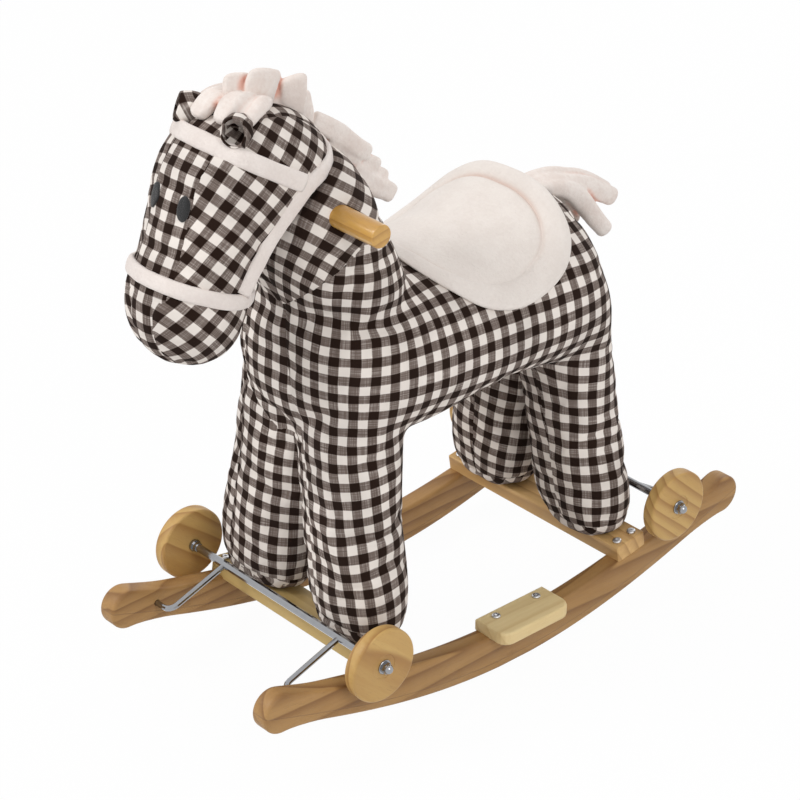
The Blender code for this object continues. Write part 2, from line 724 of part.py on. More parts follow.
def make_wheel(name, sign, side, material):
    bm = bmesh.new()
    outer, inner = WHEEL_OUTER_X, WHEEL_OUTER_X - WHEEL_THICKNESS
    bore = AXLE_RADIUS + RUNNING
    rim = []
    for angle in (0.0, math.pi / 4.0, math.pi / 2.0):
        drop = WHEEL_ROUND * (1.0 - math.sin(angle))
        rim.append((drop, WHEEL_RADIUS - WHEEL_ROUND * (1.0 - math.cos(angle))))
    profile = [(outer - WHEEL_DISH, bore), (outer - WHEEL_DISH, WHEEL_DISH_RADIUS - WHEEL_DISH),
               (outer, WHEEL_DISH_RADIUS)]
    profile += [(outer - drop, radius) for drop, radius in reversed(rim)]
    profile += [(inner + drop, radius) for drop, radius in rim]
    profile += [(inner, bore)]
    turned(bm, [(side * x, radius) for x, radius in profile], WHEEL_SIDES, axle_place(sign), bored=True)
    return finish(name, bm, material, smooth=35.0)


def make_dome_nut(name, sign, side, material):
    """Flanged hexagon with a domed cap over a blind bore."""
    centre = axle_place(sign)
    start = WHEEL_OUTER_X - WHEEL_DISH + GAP
    hexagon_start = start + NUT_FLANGE_THICKNESS
    dome_base = hexagon_start + DOME_NUT_HEX_HEIGHT
    dome_radius = DOME_NUT_FLATS / 2.0 - DOME_STEP
    dome_height = DOME_NUT_HEIGHT - DOME_NUT_HEX_HEIGHT
    corner = DOME_NUT_FLATS / math.sqrt(3.0)
    bore = AXLE_RADIUS + GAP
    bore_end = WHEEL_OUTER_X + AXLE_OVERHANG + GAP

    def ring(x, radius, hexagonal=False):
        points = []
        for i in range(SHAFT_SIDES):
            angle = 2.0 * math.pi * (i + 0.5) / SHAFT_SIDES
            reach = radius
            if hexagonal:
                reach = radius * math.cos(math.pi / 6.0) / math.cos(angle % (math.pi / 3.0) - math.pi / 6.0)
            points.append((side * x, centre[0] + reach * math.cos(angle),
                           centre[1] + reach * math.sin(angle)))
        return points

    rings = [ring(bore_end, bore), ring(start, bore), ring(start, NUT_FLANGE_RADIUS),
             ring(hexagon_start, NUT_FLANGE_RADIUS), ring(hexagon_start, corner, True),
             ring(dome_base, corner, True)]
    for angle in DOME_ANGLES:
        rings.append(ring(dome_base + dome_height * math.sin(angle), dome_radius * math.cos(angle)))
    bm = bmesh.new()
    loft(bm, rings)
    return finish(name, bm, material)


# Inner frame

def leg_foot(sign):
    y = FRONT_LEG_Y if sign < 0 else REAR_LEG_Y
    return Vector((LEG_X, y, board_top_z(sign, y)))


def add_post(bm, sign, side, grow=0.0, extra=0.0):
    """Square post from the cross board up to the body board, its foot cut to the board's tilt."""
    foot = leg_foot(sign)
    rake = FRONT_LEG_RAKE if sign < 0 else REAR_LEG_RAKE
    tilt = math.tan(sign * BOARD_TILT)
    half_x, half_y = POST_WIDTH / 2.0 + grow, POST_DEPTH / 2.0 + grow
    rings = []
    for level in ("foot", "top"):
        ring = []
        for cx, cy in ((-1, -1), (1, -1), (1, 1), (-1, 1)):
            if level == "foot":
                height = GAP - extra + cy * half_y * tilt / (1.0 + sign * rake * tilt)
            else:
                height = BODY_BOARD_Z - GAP + extra - foot.z
            ring.append((side * (foot.x - LEG_SPLAY * height) + cx * half_x,
                         foot.y - sign * rake * height + cy * half_y, foot.z + height))
        rings.append(ring)
    loft(bm, rings)


def make_post(name, sign, side, material):
    bm = bmesh.new()
    add_post(bm, sign, side)
    return finish(name, bm, material)


def body_board_box(grow=0.0):
    low = (-BODY_BOARD_HALF_WIDTH - grow, BODY_BOARD_FRONT_Y - grow, BODY_BOARD_Z - grow)
    high = (BODY_BOARD_HALF_WIDTH + grow, BODY_BOARD_REAR_Y + grow,
            BODY_BOARD_Z + BODY_BOARD_THICKNESS + grow)
    return low, high


def neck_board_matrix():
    """Frame of the neck board: local Z runs up the board, local Y through its thickness."""
    foot = Vector((0.0, NECK_BOARD_FOOT_Y, BODY_BOARD_Z + BODY_BOARD_THICKNESS))
    handle = Vector((0.0, HANDLE_Y, HANDLE_Z))
    lean = math.atan2(foot.y - handle.y, handle.z - foot.z)
    return Matrix.Translation(foot) @ Matrix.Rotation(lean, 4, 'X'), (handle - foot).length, lean


def add_neck_board(bm, grow=0.0):
    matrix, reach, lean = neck_board_matrix()
    half_x, half_y = NECK_BOARD_WIDTH / 2.0 + grow, NECK_BOARD_THICKNESS / 2.0 + grow
    top = reach + NECK_BOARD_TOP_MARGIN + grow
    rings = []
    for level in ("foot", "top"):
        ring = []
        for cx, cy in ((-1, -1), (1, -1), (1, 1), (-1, 1)):
            z = top if level == "top" else GAP - grow - cy * half_y * math.tan(lean)
            ring.append(matrix @ Vector((cx * half_x, cy * half_y, z)))
        rings.append(ring)
    loft(bm, rings)


def make_frame_cavity():
    """Room for the wooden frame inside the stuffing, open at the soles of the legs."""
    bm = bmesh.new()
    box(bm, *body_board_box(GAP))
    board = as_cutter(finish("body board room", bm))
    posts = []
    for sign in (-1.0, 1.0):
        for side in (-1.0, 1.0):
            bm = bmesh.new()
            add_post(bm, sign, side, GAP, POST_ROOM_OVERRUN)
            posts.append(as_cutter(finish("post room", bm)))
    bm = bmesh.new()
    add_neck_board(bm, GAP)
    neck = as_cutter(finish("neck board room", bm))
    bm = bmesh.new()
    half = HANDLE_HALF_LENGTH + CUT_OVERRUN
    turned(bm, [(-half, HANDLE_RADIUS + GAP), (half, HANDLE_RADIUS + GAP)], HANDLE_SIDES,
           (HANDLE_Y, HANDLE_Z))
    handle = as_cutter(finish("handle room", bm))
    return board, posts, neck, handle


def make_handle(name, material):
    bm = bmesh.new()
    half, chamfer = HANDLE_HALF_LENGTH, HANDLE_CHAMFER
    turned(bm, [(-half, HANDLE_RADIUS - chamfer), (-half + chamfer, HANDLE_RADIUS),
                (half - chamfer, HANDLE_RADIUS), (half, HANDLE_RADIUS - chamfer)], HANDLE_SIDES,
           (HANDLE_Y, HANDLE_Z))
    return finish(name, bm, material)


def make_leg_bolt(name, sign, side, material):
    """Bolt with its washer, up through the board into the leg post."""
    up = Matrix.Rotation(sign * BOARD_TILT, 3, 'X') @ Vector((0.0, 0.0, 1.0))
    foot = leg_foot(sign)
    seat = Vector((side * foot.x, foot.y, foot.z)) - up * (BOARD_THICKNESS + GAP)
    matrix = Matrix.Translation(seat) @ up.to_track_quat('X', 'Y').to_matrix().to_4x4()
    under = -WASHER_THICKNESS
    profile = [(under - BOLT_HEAD_HEIGHT, BOLT_HEAD_TOP_RADIUS),
               (under - BOLT_HEAD_HEIGHT + BOLT_HEAD_EDGE, BOLT_HEAD_RADIUS), (under, BOLT_HEAD_RADIUS),
               (under, WASHER_RADIUS), (0.0, WASHER_RADIUS), (0.0, BOLT_SHANK_RADIUS),
               (BOLT_LENGTH, BOLT_SHANK_RADIUS)]
    bm = bmesh.new()
    turned(bm, profile, SCREW_SIDES)
    bmesh.ops.transform(bm, matrix=matrix, verts=bm.verts)
    return finish(name, bm, material)


def leg_bolt_places():
    places = []
    for sign in (-1.0, 1.0):
        up = Matrix.Rotation(sign * BOARD_TILT, 3, 'X') @ Vector((0.0, 0.0, 1.0))
        foot = leg_foot(sign)
        for side in (-1.0, 1.0):
            places.append((Vector((side * foot.x, foot.y, foot.z)), up))
    return places


# Soft forms

def torso_rings(grow=0.0):
    rings = []
    for i, (y, low, wide, high, half_width) in enumerate(TORSO_STATIONS):
        shift = -grow if i == 0 else grow if i == len(TORSO_STATIONS) - 1 else 0.0
        ring = []
        for k in range(BODY_SIDES):
            angle = 2.0 * math.pi * k / BODY_SIDES
            upper = math.sin(angle) >= 0.0
            squareness = TORSO_BACK_SQUARENESS if upper else TORSO_BELLY_SQUARENESS
            reach = (high - wide if upper else wide - low) + grow
            ring.append(((half_width + grow) * bend_power(math.cos(angle), squareness), y + shift,
                         wide + reach * bend_power(math.sin(angle), squareness)))
        rings.append(ring)
    return rings


def upright_rings(stations, squareness, sides, grow=0.0):
    """Level ovals for the neck and the head."""
    rings = []
    for i, (z, front, back, half_width) in enumerate(stations):
        shift = -grow if i == 0 else grow if i == len(stations) - 1 else 0.0
        half = (back - front) / 2.0 + grow
        middle = (back + front) / 2.0
        rings.append([(x, middle + y, z + shift)
                      for x, y in oval(half_width + grow, half, sides, squareness)])
    return rings


def leg_rings(sign, side):
    foot = leg_foot(sign)
    rake = FRONT_LEG_RAKE if sign < 0 else REAR_LEG_RAKE
    stations = FRONT_LEG_STATIONS if sign < 0 else REAR_LEG_STATIONS
    rings = []
    for height, half_width, half_depth in stations:
        x = side * (foot.x - LEG_SPLAY * height)
        y = foot.y - sign * rake * height
        rings.append([(x + a, y + b, foot.z + height)
                      for a, b in oval(half_width, half_depth, LEG_SIDES, LEG_SQUARENESS)])
    return rings


def solid_from(name, rings, material=None):
    bm = bmesh.new()
    loft(bm, rings)
    return finish(name, bm, material, smooth=60.0)


def sole_cutter(name, sign):
    """Everything below the board's top face, so that the sole sits flat on it."""
    bm = bmesh.new()
    half = BOARD_THICKNESS / 2.0
    low = (-CUTTER_REACH, -CUTTER_REACH, -CUTTER_REACH)
    box(bm, low, (CUTTER_REACH, CUTTER_REACH, half + GAP), board_matrix(sign))
    return as_cutter(finish(name, bm))


def far_half(side):
    """Everything past the middle plane, where a leg presses against its fellow."""
    bm = bmesh.new()
    low = (-CUTTER_REACH, -CUTTER_REACH, -CUTTER_REACH)
    box(bm, low, (GAP / 2.0, CUTTER_REACH, CUTTER_REACH), Matrix.Scale(side, 4, (1.0, 0.0, 0.0)))
    return as_cutter(finish("far half", bm))


def surface_of(*items):
    """Search trees over the plain lofts, for pads and straps that lie on them."""
    trees = []
    for item in items:
        bm = bmesh.new()
        bm.from_mesh(item.data)
        trees.append(BVHTree.FromBMesh(bm))
        bm.free()
    return trees


def skin_point(trees, middle, direction):
    """First point of the skin met from outside on the way in to middle."""
    start = middle + direction * SEARCH_REACH
    best = None
    for tree in trees:
        place, _, _, distance = tree.ray_cast(start, -direction)
        if place is not None and (best is None or distance < best[1]):
            best = (place, distance)
    return best[0]


def band_around(trees, middle_y, height_at, angles):
    """Points and outward directions of a strap that lies in a tilted plane."""
    middle = Vector((0.0, middle_y, height_at(middle_y)))
    slope = height_at(1.0) - height_at(0.0)
    points, outwards = [], []
    for angle in angles:
        direction = Vector((math.cos(angle), math.sin(angle), slope * math.sin(angle))).normalized()
        points.append(skin_point(trees, middle, direction) + direction * STRAP_LIFT)
        outwards.append(direction)
    return points, outwards


def noseband_height(y):
    return NOSEBAND_Z + NOSEBAND_SLOPE * (y - NOSEBAND_Y)


def crown_height(y):
    return CROWN_Z + CROWN_SLOPE * (y - CROWN_Y)


def browband_height(y):
    return crown_height(CHEEK_TOP_Y) + BROWBAND_SLOPE * (y - CHEEK_TOP_Y)


def noseband_route(trees):
    _, front, back, _ = min(HEAD_STATIONS, key=lambda station: abs(station[0] - NOSEBAND_Z))
    angles = [2.0 * math.pi * (i + 0.5) / NOSEBAND_STEPS for i in range(NOSEBAND_STEPS)]
    return band_around(trees, (front + back) / 2.0, noseband_height, angles)


def crown_route(head_trees, all_trees):
    """Up the left cheek, round behind the poll and down the right cheek."""
    points, outwards = [], []
    top = (CHEEK_TOP_Y, crown_height(CHEEK_TOP_Y))
    for i in range(CHEEK_STEPS):
        t = i / CHEEK_STEPS
        y = CHEEK_FOOT_Y + (top[0] - CHEEK_FOOT_Y) * t
        z = CHEEK_FOOT_Z + (top[1] - CHEEK_FOOT_Z) * t
        place = skin_point(head_trees, Vector((0.0, y, z)), Vector((1.0, 0.0, 0.0)))
        points.append(Vector((max(place.x, CHEEK_LEAST_X) + STRAP_LIFT, y, z)))
        outwards.append(Vector((1.0, 0.0, 0.0)))
    turn = math.pi + 2.0 * CROWN_OVERRUN
    angles = [turn * i / CROWN_STEPS - CROWN_OVERRUN for i in range(CROWN_STEPS + 1)]
    round_points, round_outwards = band_around(all_trees, CROWN_MIDDLE_Y, crown_height, angles)
    mirror = Matrix.Diagonal((-1.0, 1.0, 1.0))
    far_points = [mirror @ p for p in reversed(points)]
    far_outwards = [mirror @ n for n in reversed(outwards)]
    return points + round_points + far_points, outwards + round_outwards + far_outwards


def browband_route(trees):
    """From one cheek strap across the forehead to the other."""
    turn = math.pi + 2.0 * BROWBAND_OVERRUN
    angles = [BROWBAND_OVERRUN - turn * i / BROWBAND_STEPS for i in range(BROWBAND_STEPS + 1)]
    return band_around(trees, CHEEK_TOP_Y - BROWBAND_SETBACK, browband_height, angles)


def make_strap(name, route, material=None, grow=0.0, closed=False):
    bm = bmesh.new()
    points, outwards = route
    tube(bm, points, STRAP_HALF_WIDTH + grow, STRAP_HALF_THICKNESS + grow, STRAP_SIDES, closed, outwards,
         STRAP_SQUARENESS)
    return finish(name, bm, material, smooth=60.0)


def torso_section(y):
    """Underside, widest height, back and half width, read between the stations."""
    for before, after in zip(TORSO_STATIONS, TORSO_STATIONS[1:]):
        if y <= after[0]:
            break
    t = (y - before[0]) / (after[0] - before[0])
    return [a + (b - a) * t for a, b in zip(before[1:], after[1:])]


def torso_skin(y, along):
    """Point of the torso's section at a distance along the cloth from the ridge, and outwards there."""
    low, wide, high, half_width = torso_section(y)
    side = -1.0 if along < 0.0 else 1.0
    left = abs(along)
    previous = Vector((0.0, y, high))
    for i in range(1, SKIN_STEPS + 1):
        angle = math.pi / 2.0 - math.pi * i / SKIN_STEPS
        upper = angle >= 0.0
        squareness = TORSO_BACK_SQUARENESS if upper else TORSO_BELLY_SQUARENESS
        reach = high - wide if upper else wide - low
        point = Vector((side * half_width * bend_power(math.cos(angle), squareness), y,
                        wide + reach * bend_power(math.sin(angle), squareness)))
        step = point - previous
        if step.length >= left:
            break
        left -= step.length
        previous = point
    outwards = Vector((-step.z * side, 0.0, step.x * side)).normalized()
    return previous + step.normalized() * left, outwards


def saddle_point(angle, share, rise):
    """Point over the torso: share runs from the middle of the pad to its edge."""
    along = SADDLE_REACH * share * bend_power(math.sin(angle), SADDLE_SQUARENESS)
    sweep = SADDLE_SWEEP * (along / SADDLE_REACH) ** 2
    y = SADDLE_MIDDLE_Y + sweep + SADDLE_HALF_LENGTH * share * bend_power(math.cos(angle), SADDLE_SQUARENESS)
    place, outwards = torso_skin(y, along)
    return place + outwards * rise


def make_saddle_pad(name, material):
    """A padded oval with a thick rolled rim and a groove inside it."""
    full = SADDLE_THICKNESS + SADDLE_RIM
    profile = [(share, -SADDLE_SINK) for share in (*SADDLE_UNDERSIDE, SADDLE_EDGE_SHARE)]
    profile += [(share, full * part) for share, part in SADDLE_RIM_PROFILE]
    profile += [(share, SADDLE_THICKNESS * part) for share, part in SADDLE_FIELD_PROFILE]
    angles = [2.0 * math.pi * i / SADDLE_SIDES for i in range(SADDLE_SIDES)]
    rings = [[saddle_point(a, share, rise) for a in angles] for share, rise in profile]
    bm = bmesh.new()
    rows = [[bm.verts.new(point) for point in ring] for ring in rings]
    for low, high in zip(rows, rows[1:]):
        bridge(bm, low, high)
    for row, rise in ((rows[0], profile[0][1]), (rows[-1], profile[-1][1])):
        middle = bm.verts.new(saddle_point(0.0, 0.0, rise))
        for i in range(SADDLE_SIDES):
            bm.faces.new((row[i], row[(i + 1) % SADDLE_SIDES], middle))
    return finish(name, bm, material, smooth=60.0)


def make_eye(name, side, trees, material):
    bm = bmesh.new()
    forward = Vector((0.0, -1.0, 0.0))
    middle = Vector((side * EYE_X, HEAD_MIDDLE_Y, EYE_Z))
    place = skin_point(trees, middle, forward)
    beside = middle + Vector((side * EYE_HALF_WIDTH, 0.0, 0.0))
    above = middle + Vector((0.0, 0.0, EYE_HALF_WIDTH))
    across = skin_point(trees, beside, forward) - place
    upwards = skin_point(trees, above, forward) - place
    across.normalize()
    upwards = (upwards - across * upwards.dot(across)).normalized()
    outwards = across.cross(upwards) * side
    if outwards.y > 0.0:
        outwards.negate()
    rings = []
    for rise, share in ((-EYE_SINK, 1.0), (EYE_EDGE, 1.0), (EYE_THICKNESS, EYE_FACE_SHARE)):
        rings.append([place + outwards * rise + across * u * share + upwards * v * share
                      for u, v in oval(EYE_HALF_WIDTH, EYE_HALF_HEIGHT, EYE_SIDES)])
    loft(bm, rings)
    return finish(name, bm, material, smooth=50.0)


def make_ear(name, side, material=None, grow=0.0):
    """Short folded ear that points out of the head's top corner."""
    bm = bmesh.new()
    axis = Vector((side * EAR_AXIS[0], EAR_AXIS[1], EAR_AXIS[2])).normalized()
    across = axis.cross(Vector((0.0, 0.0, 1.0))).normalized()
    upwards = axis.cross(across).normalized()
    base = Vector((side * EAR_BASE[0], EAR_BASE[1], EAR_BASE[2]))
    rings = []
    for i, (far, half_width, half_thickness) in enumerate(EAR_STATIONS):
        middle = base + axis * (far + (grow if i == len(EAR_STATIONS) - 1 else 0.0))
        rings.append([middle + across * u + upwards * v
                      for u, v in oval(half_width + grow, half_thickness + grow, EAR_SIDES)])
    loft(bm, rings)
    return finish(name, bm, material, smooth=60.0)


def make_mane_crest(name, material=None, grow=0.0):
    """Upright folds along the top of the head."""
    bm = bmesh.new()
    rings = []
    for i, (y, top, half_width, swing) in enumerate(MANE_CREST):
        shift = -grow if i == 0 else grow if i == len(MANE_CREST) - 1 else 0.0
        half = MANE_CREST_ROOT_DROP / 2.0 + grow
        middle = top - MANE_CREST_ROOT_DROP / 2.0
        rings.append([(u + swing * (0.5 + 0.5 * v / half), y + shift, middle + v)
                      for u, v in oval(half_width + grow, half, TUFT_SIDES, MANE_CREST_SQUARENESS)])
    loft(bm, rings)
    return finish(name, bm, material, smooth=60.0)


def make_forelock(name, trees, material):
    """Tuft that lies on the top of the forehead between the ears."""
    bm = bmesh.new()
    rings = []
    for y, half_width, rise in FORELOCK:
        up = Vector((0.0, 0.0, 1.0))
        skin = skin_point(trees, Vector((0.0, y, HEAD_MIDDLE_Z)), up)
        ring = []
        for u, v in oval(half_width, 1.0, TUFT_SIDES):
            spot = skin_point(trees, Vector((u, y, HEAD_MIDDLE_Z)), up)
            height = spot.z + (rise * v if v > 0.0 else FORELOCK_SINK * v)
            ring.append((u, y, min(height, skin.z + rise)))
        rings.append(ring)
    loft(bm, rings)
    return finish(name, bm, material, smooth=60.0)


def make_mane_back(name, material):
    """Locks that overlap down the back of the neck."""
    bm = bmesh.new()
    top = Vector((0.0, *MANE_BACK_TOP))
    foot = Vector((0.0, *MANE_BACK_FOOT))
    along = (foot - top).normalized()
    outwards = Vector((0.0, -along.z, along.y))
    length = (foot - top).length
    rings = []
    for lock in range(MANE_BACK_LOCKS):
        for share, rise in MANE_BACK_PROFILE:
            if lock == 0:
                rise *= MANE_BACK_FIRST[0] + MANE_BACK_FIRST[1] * share
            far = (lock + share) / MANE_BACK_LOCKS
            rise *= 1.0 + MANE_BACK_GAIN * far
            swing = MANE_BACK_SWING * (-1.0) ** lock
            half = rise / 2.0 + MANE_BACK_SINK
            middle = top + along * length * far + outwards * (rise - half) + Vector((swing, 0.0, 0.0))
            lean = along * MANE_BACK_HANG * share
            rings.append([middle + Vector((u, 0.0, 0.0)) + outwards * v + lean * (1.0 + v / half)
                          for u, v in oval(MANE_BACK_HALF_WIDTH, half, LOCK_SIDES, LOCK_SQUARENESS)])
    loft(bm, rings)
    return finish(name, bm, material, smooth=60.0)


def add_tail_lock(bm, x, stations):
    points = [Vector((x, y, z)) for y, z, _, _ in stations]
    upward = [Vector(TAIL_LOCK_UP) for _ in stations]
    half_a = [half_width for _, _, half_width, _ in stations]
    half_b = [half_thickness for _, _, _, half_thickness in stations]
    tube(bm, points, half_a, half_b, LOCK_SIDES, False, upward, LOCK_SQUARENESS)


def make_tail(name, material):
    """Three folded locks sewn in at one root."""
    locks = []
    for i, (x, stations) in enumerate(TAIL_LOCKS):
        bm = bmesh.new()
        add_tail_lock(bm, x, stations)
        locks.append(finish(name if i == 0 else "tail lock", bm, material, smooth=60.0))
    for lock in locks[1:]:
        join(locks[0], lock)
    return locks[0]


def main():
    clear_scene()
    pine = make_material("pine", (0.50, 0.32, 0.16), 0.5)
    pale_wood = make_material("pale wood", (0.62, 0.45, 0.22), 0.5)
    varnished = make_material("varnished wood", (0.66, 0.40, 0.12), 0.3)
    chrome = make_material("chromed steel", (0.75, 0.75, 0.76), 0.2, 1.0)
    steel = make_material("zinc plated steel", (0.62, 0.62, 0.62), 0.35, 1.0)
    gingham = make_material("checked cotton", (0.30, 0.26, 0.24), 0.9)
    plush = make_material("cream plush", (0.84, 0.78, 0.74), 0.95)
    felt = make_material("black felt", (0.02, 0.02, 0.02), 0.9)
    frame_wood = make_material("inner softwood", (0.62, 0.48, 0.30), 0.7)

    # Rockers, boards and foot rests
    bores = {sign: pivot_bores("pivot bores", sign) for sign in (-1.0, 1.0)}
    seats = {sign: board_seat("board seat", sign) for sign in (-1.0, 1.0)}
    foot_seats = foot_rest_seats()
    screw_radius = SCREW_SHANK_RADIUS + GAP
    board_holes = {sign: hole_cutter("board screw holes", board_screw_places(sign), screw_radius,
                                     SCREW_LENGTH + GAP, CUT_OVERRUN) for sign in (-1.0, 1.0)}
    foot_holes = hole_cutter("foot rest screw holes", foot_screw_places(), screw_radius,
                             FOOT_REST_SCREW_LENGTH + GAP, CUT_OVERRUN)
    bolt_holes = hole_cutter("leg bolt holes", leg_bolt_places(), BOLT_SHANK_RADIUS + GAP,
                             BOARD_THICKNESS + CUT_OVERRUN, BOLT_LENGTH - BOARD_THICKNESS + BOLT_TIP_ROOM)
    for name, side in (("rocker_left", 1.0), ("rocker_right", -1.0)):
        rocker = make_rocker(name, side, pine)
        cut(rocker, seats[-1.0], seats[1.0], foot_seats, bores[-1.0], bores[1.0],
            board_holes[-1.0], board_holes[1.0], foot_holes)
    for name, sign, material in (("front_cross_board", -1.0, pale_wood), ("rear_cross_board", 1.0, pine)):
        board = make_board(name, sign, material)
        cut(board, board_holes[sign], bolt_holes)
    for name, side in (("foot_rest_left", 1.0), ("foot_rest_right", -1.0)):
        rest = make_foot_rest(name, side, pale_wood)
        cut(rest, foot_holes)

    for word, sign in (("front", -1.0), ("rear", 1.0)):
        for i, (place, up) in enumerate(board_screw_places(sign)):
            make_screw(word + "_board_screw_" + str(i + 1), place, up, SCREW_LENGTH, steel)
    for i, (place, up) in enumerate(foot_screw_places()):
        make_screw("foot_rest_screw_" + str(i + 1), place, up, FOOT_REST_SCREW_LENGTH, steel)

    # Wheel sets
    for word, sign in (("front", -1.0), ("rear", 1.0)):
        make_wheel_frame(word + "_wheel_frame", sign, chrome)
        for hand, side in (("left", 1.0), ("right", -1.0)):
            make_wheel(word + "_wheel_" + hand, sign, side, pale_wood)
            make_dome_nut(word + "_dome_nut_" + hand, sign, side, chrome)

    # Inner frame
    body_board_room, post_rooms, neck_board_room, handle_room = make_frame_cavity()
    for word, sign in (("front", -1.0), ("rear", 1.0)):
        for hand, side in (("left", 1.0), ("right", -1.0)):
            post = make_post("leg_post_" + word + "_" + hand, sign, side, frame_wood)
            cut(post, bolt_holes)
            make_leg_bolt("leg_bolt_" + word + "_" + hand, sign, side, steel)
    bm = bmesh.new()
    box(bm, *body_board_box())
    finish("body_board", bm, frame_wood)
    bm = bmesh.new()
    add_neck_board(bm)
    neck_board = finish("neck_board", bm, frame_wood)
    cut(neck_board, handle_room)
    make_handle("handle_bar", varnished)

    # Body, neck, head and legs
    soles = {sign: sole_cutter("sole plane", sign) for sign in (-1.0, 1.0)}
    torso = solid_from("torso", torso_rings(), gingham)
    torso_room = as_cutter(solid_from("torso room", torso_rings(GAP)))
    head_shape = (HEAD_STATIONS, HEAD_SQUARENESS, HEAD_SIDES)
    neck_shape = (NECK_STATIONS, NECK_SQUARENESS, BODY_SIDES)
    head = solid_from("head", upright_rings(*head_shape), gingham)
    head_room = as_cutter(solid_from("head room", upright_rings(*head_shape, GAP)))
    neck = solid_from("neck", upright_rings(*neck_shape), gingham)
    neck_room = as_cutter(solid_from("neck room", upright_rings(*neck_shape, GAP)))
    head_trees = surface_of(head)
    all_trees = surface_of(head, neck)
    cut(torso, body_board_room, *post_rooms, neck_board_room)
    cut(neck, torso_room, head_room, neck_board_room, handle_room)
    cut(head, neck_board_room, handle_room)
    far_halves = {side: far_half(side) for side in (-1.0, 1.0)}
    for word, sign in (("front", -1.0), ("rear", 1.0)):
        for hand, side in (("left", 1.0), ("right", -1.0)):
            leg = solid_from("leg_" + word + "_" + hand, leg_rings(sign, side), gingham)
            cut(leg, soles[sign], torso_room, far_halves[side], *post_rooms)

    # Bridle
    nose_route = noseband_route(head_trees)
    crown = crown_route(head_trees, all_trees)
    brow = browband_route(head_trees)
    noseband = make_strap("noseband", nose_route, plush, closed=True)
    crown_strap = make_strap("crown_strap", crown, plush)
    browband = make_strap("browband", brow, plush)
    nose_room = as_cutter(make_strap("noseband room", nose_route, grow=GAP, closed=True))
    crown_room = as_cutter(make_strap("crown strap room", crown, grow=GAP))
    brow_room = as_cutter(make_strap("browband room", brow, grow=GAP))
    cut(noseband, head_room)
    cut(crown_strap, head_room, neck_room, nose_room)
    cut(browband, head_room, neck_room, crown_room)

    # Saddle pad, eyes, ears, mane and tail
    saddle = make_saddle_pad("saddle_pad", plush)
    cut(saddle, torso_room)
    crest = make_mane_crest("mane_crest", plush)
    crest_room = as_cutter(make_mane_crest("mane crest room", grow=GAP))
    cut(crest, head_room, neck_room, crown_room)
    forelock = make_forelock("forelock", head_trees, plush)
    cut(forelock, head_room, crest_room)
    for hand, side in (("left", 1.0), ("right", -1.0)):
        eye = make_eye("eye_" + hand, side, head_trees, felt)
        cut(eye, head_room)
        ear = make_ear("ear_" + hand, side, gingham)
        cut(ear, head_room, brow_room)
        cut(forelock, as_cutter(make_ear("ear room", side, grow=GAP)))
    mane = make_mane_back("mane_back", plush)
    cut(mane, head_room, neck_room, crown_room, torso_room)
    tail = make_tail("tail", plush)
    cut(tail, torso_room)

    # The world origin lies under the middle of the whole outline
    front_y = min(vert.co.y for item in (head, noseband) for vert in item.data.vertices)
    rear_y = ROCKER_TIP_Y + ROCKER_TIP_RADIUS
    root = bpy.data.objects.new("rocking horse", None)
    bpy.context.scene.collection.objects.link(root)
    for item in list(bpy.data.objects):
        if item is not root:
            item.parent = root
    root.location = (0.0, -(front_y + rear_y) / 2.0, 0.0)


main()
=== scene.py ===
import math

import bmesh
import bpy
import numpy as np
from mathutils import Matrix, Vector, noise
from mathutils.bvhtree import BVHTree


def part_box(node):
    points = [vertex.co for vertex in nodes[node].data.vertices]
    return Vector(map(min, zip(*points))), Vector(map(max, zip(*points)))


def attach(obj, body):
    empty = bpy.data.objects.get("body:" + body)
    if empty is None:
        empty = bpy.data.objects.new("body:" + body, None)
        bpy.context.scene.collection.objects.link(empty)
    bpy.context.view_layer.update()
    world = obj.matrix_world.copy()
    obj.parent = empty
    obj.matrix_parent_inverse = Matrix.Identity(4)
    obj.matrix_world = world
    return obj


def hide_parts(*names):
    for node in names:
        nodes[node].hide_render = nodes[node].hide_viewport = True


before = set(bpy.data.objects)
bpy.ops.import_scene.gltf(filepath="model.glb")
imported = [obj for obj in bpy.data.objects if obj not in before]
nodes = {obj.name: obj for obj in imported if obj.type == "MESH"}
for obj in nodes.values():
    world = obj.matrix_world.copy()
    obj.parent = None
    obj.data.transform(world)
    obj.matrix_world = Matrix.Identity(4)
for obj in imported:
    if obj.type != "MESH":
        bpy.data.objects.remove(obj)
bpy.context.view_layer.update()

rockerLow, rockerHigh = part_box("rocker_left")
middleY = (rockerLow.y + rockerHigh.y) / 2
quarter = math.pi / 2
weld = 0.000005                      # points nearer than this are one
sides = ("left", "right")
corners = [(end, side) for end in ("front", "rear") for side in sides]


def at(x, y, z):
    return Vector((x, y + middleY, z))


# Building helpers

def addObject(name, data):
    made = bpy.data.objects.new(name, data)
    bpy.context.scene.collection.objects.link(made)
    return made


def addPiece(name, mesh, material, bodyName="horse"):
    piece = addObject(name, mesh)
    mesh.materials.append(material)
    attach(piece, bodyName)
    return piece


def toMesh(bm, name, sharpAngle=None, recalc=True):
    if recalc:
        bmesh.ops.remove_doubles(bm, verts=bm.verts, dist=weld)
        bmesh.ops.recalc_face_normals(bm, faces=bm.faces)
    mesh = bpy.data.meshes.new(name)
    bm.to_mesh(mesh)
    bm.free()
    mesh.shade_smooth()
    if sharpAngle:
        mesh.set_sharp_from_angle(angle=math.radians(sharpAngle))
    return mesh


def bakedMesh(piece):
    # the mesh of an object as its modifiers leave it
    graph = bpy.context.evaluated_depsgraph_get()
    return bpy.data.meshes.new_from_object(piece.evaluated_get(graph), depsgraph=graph)


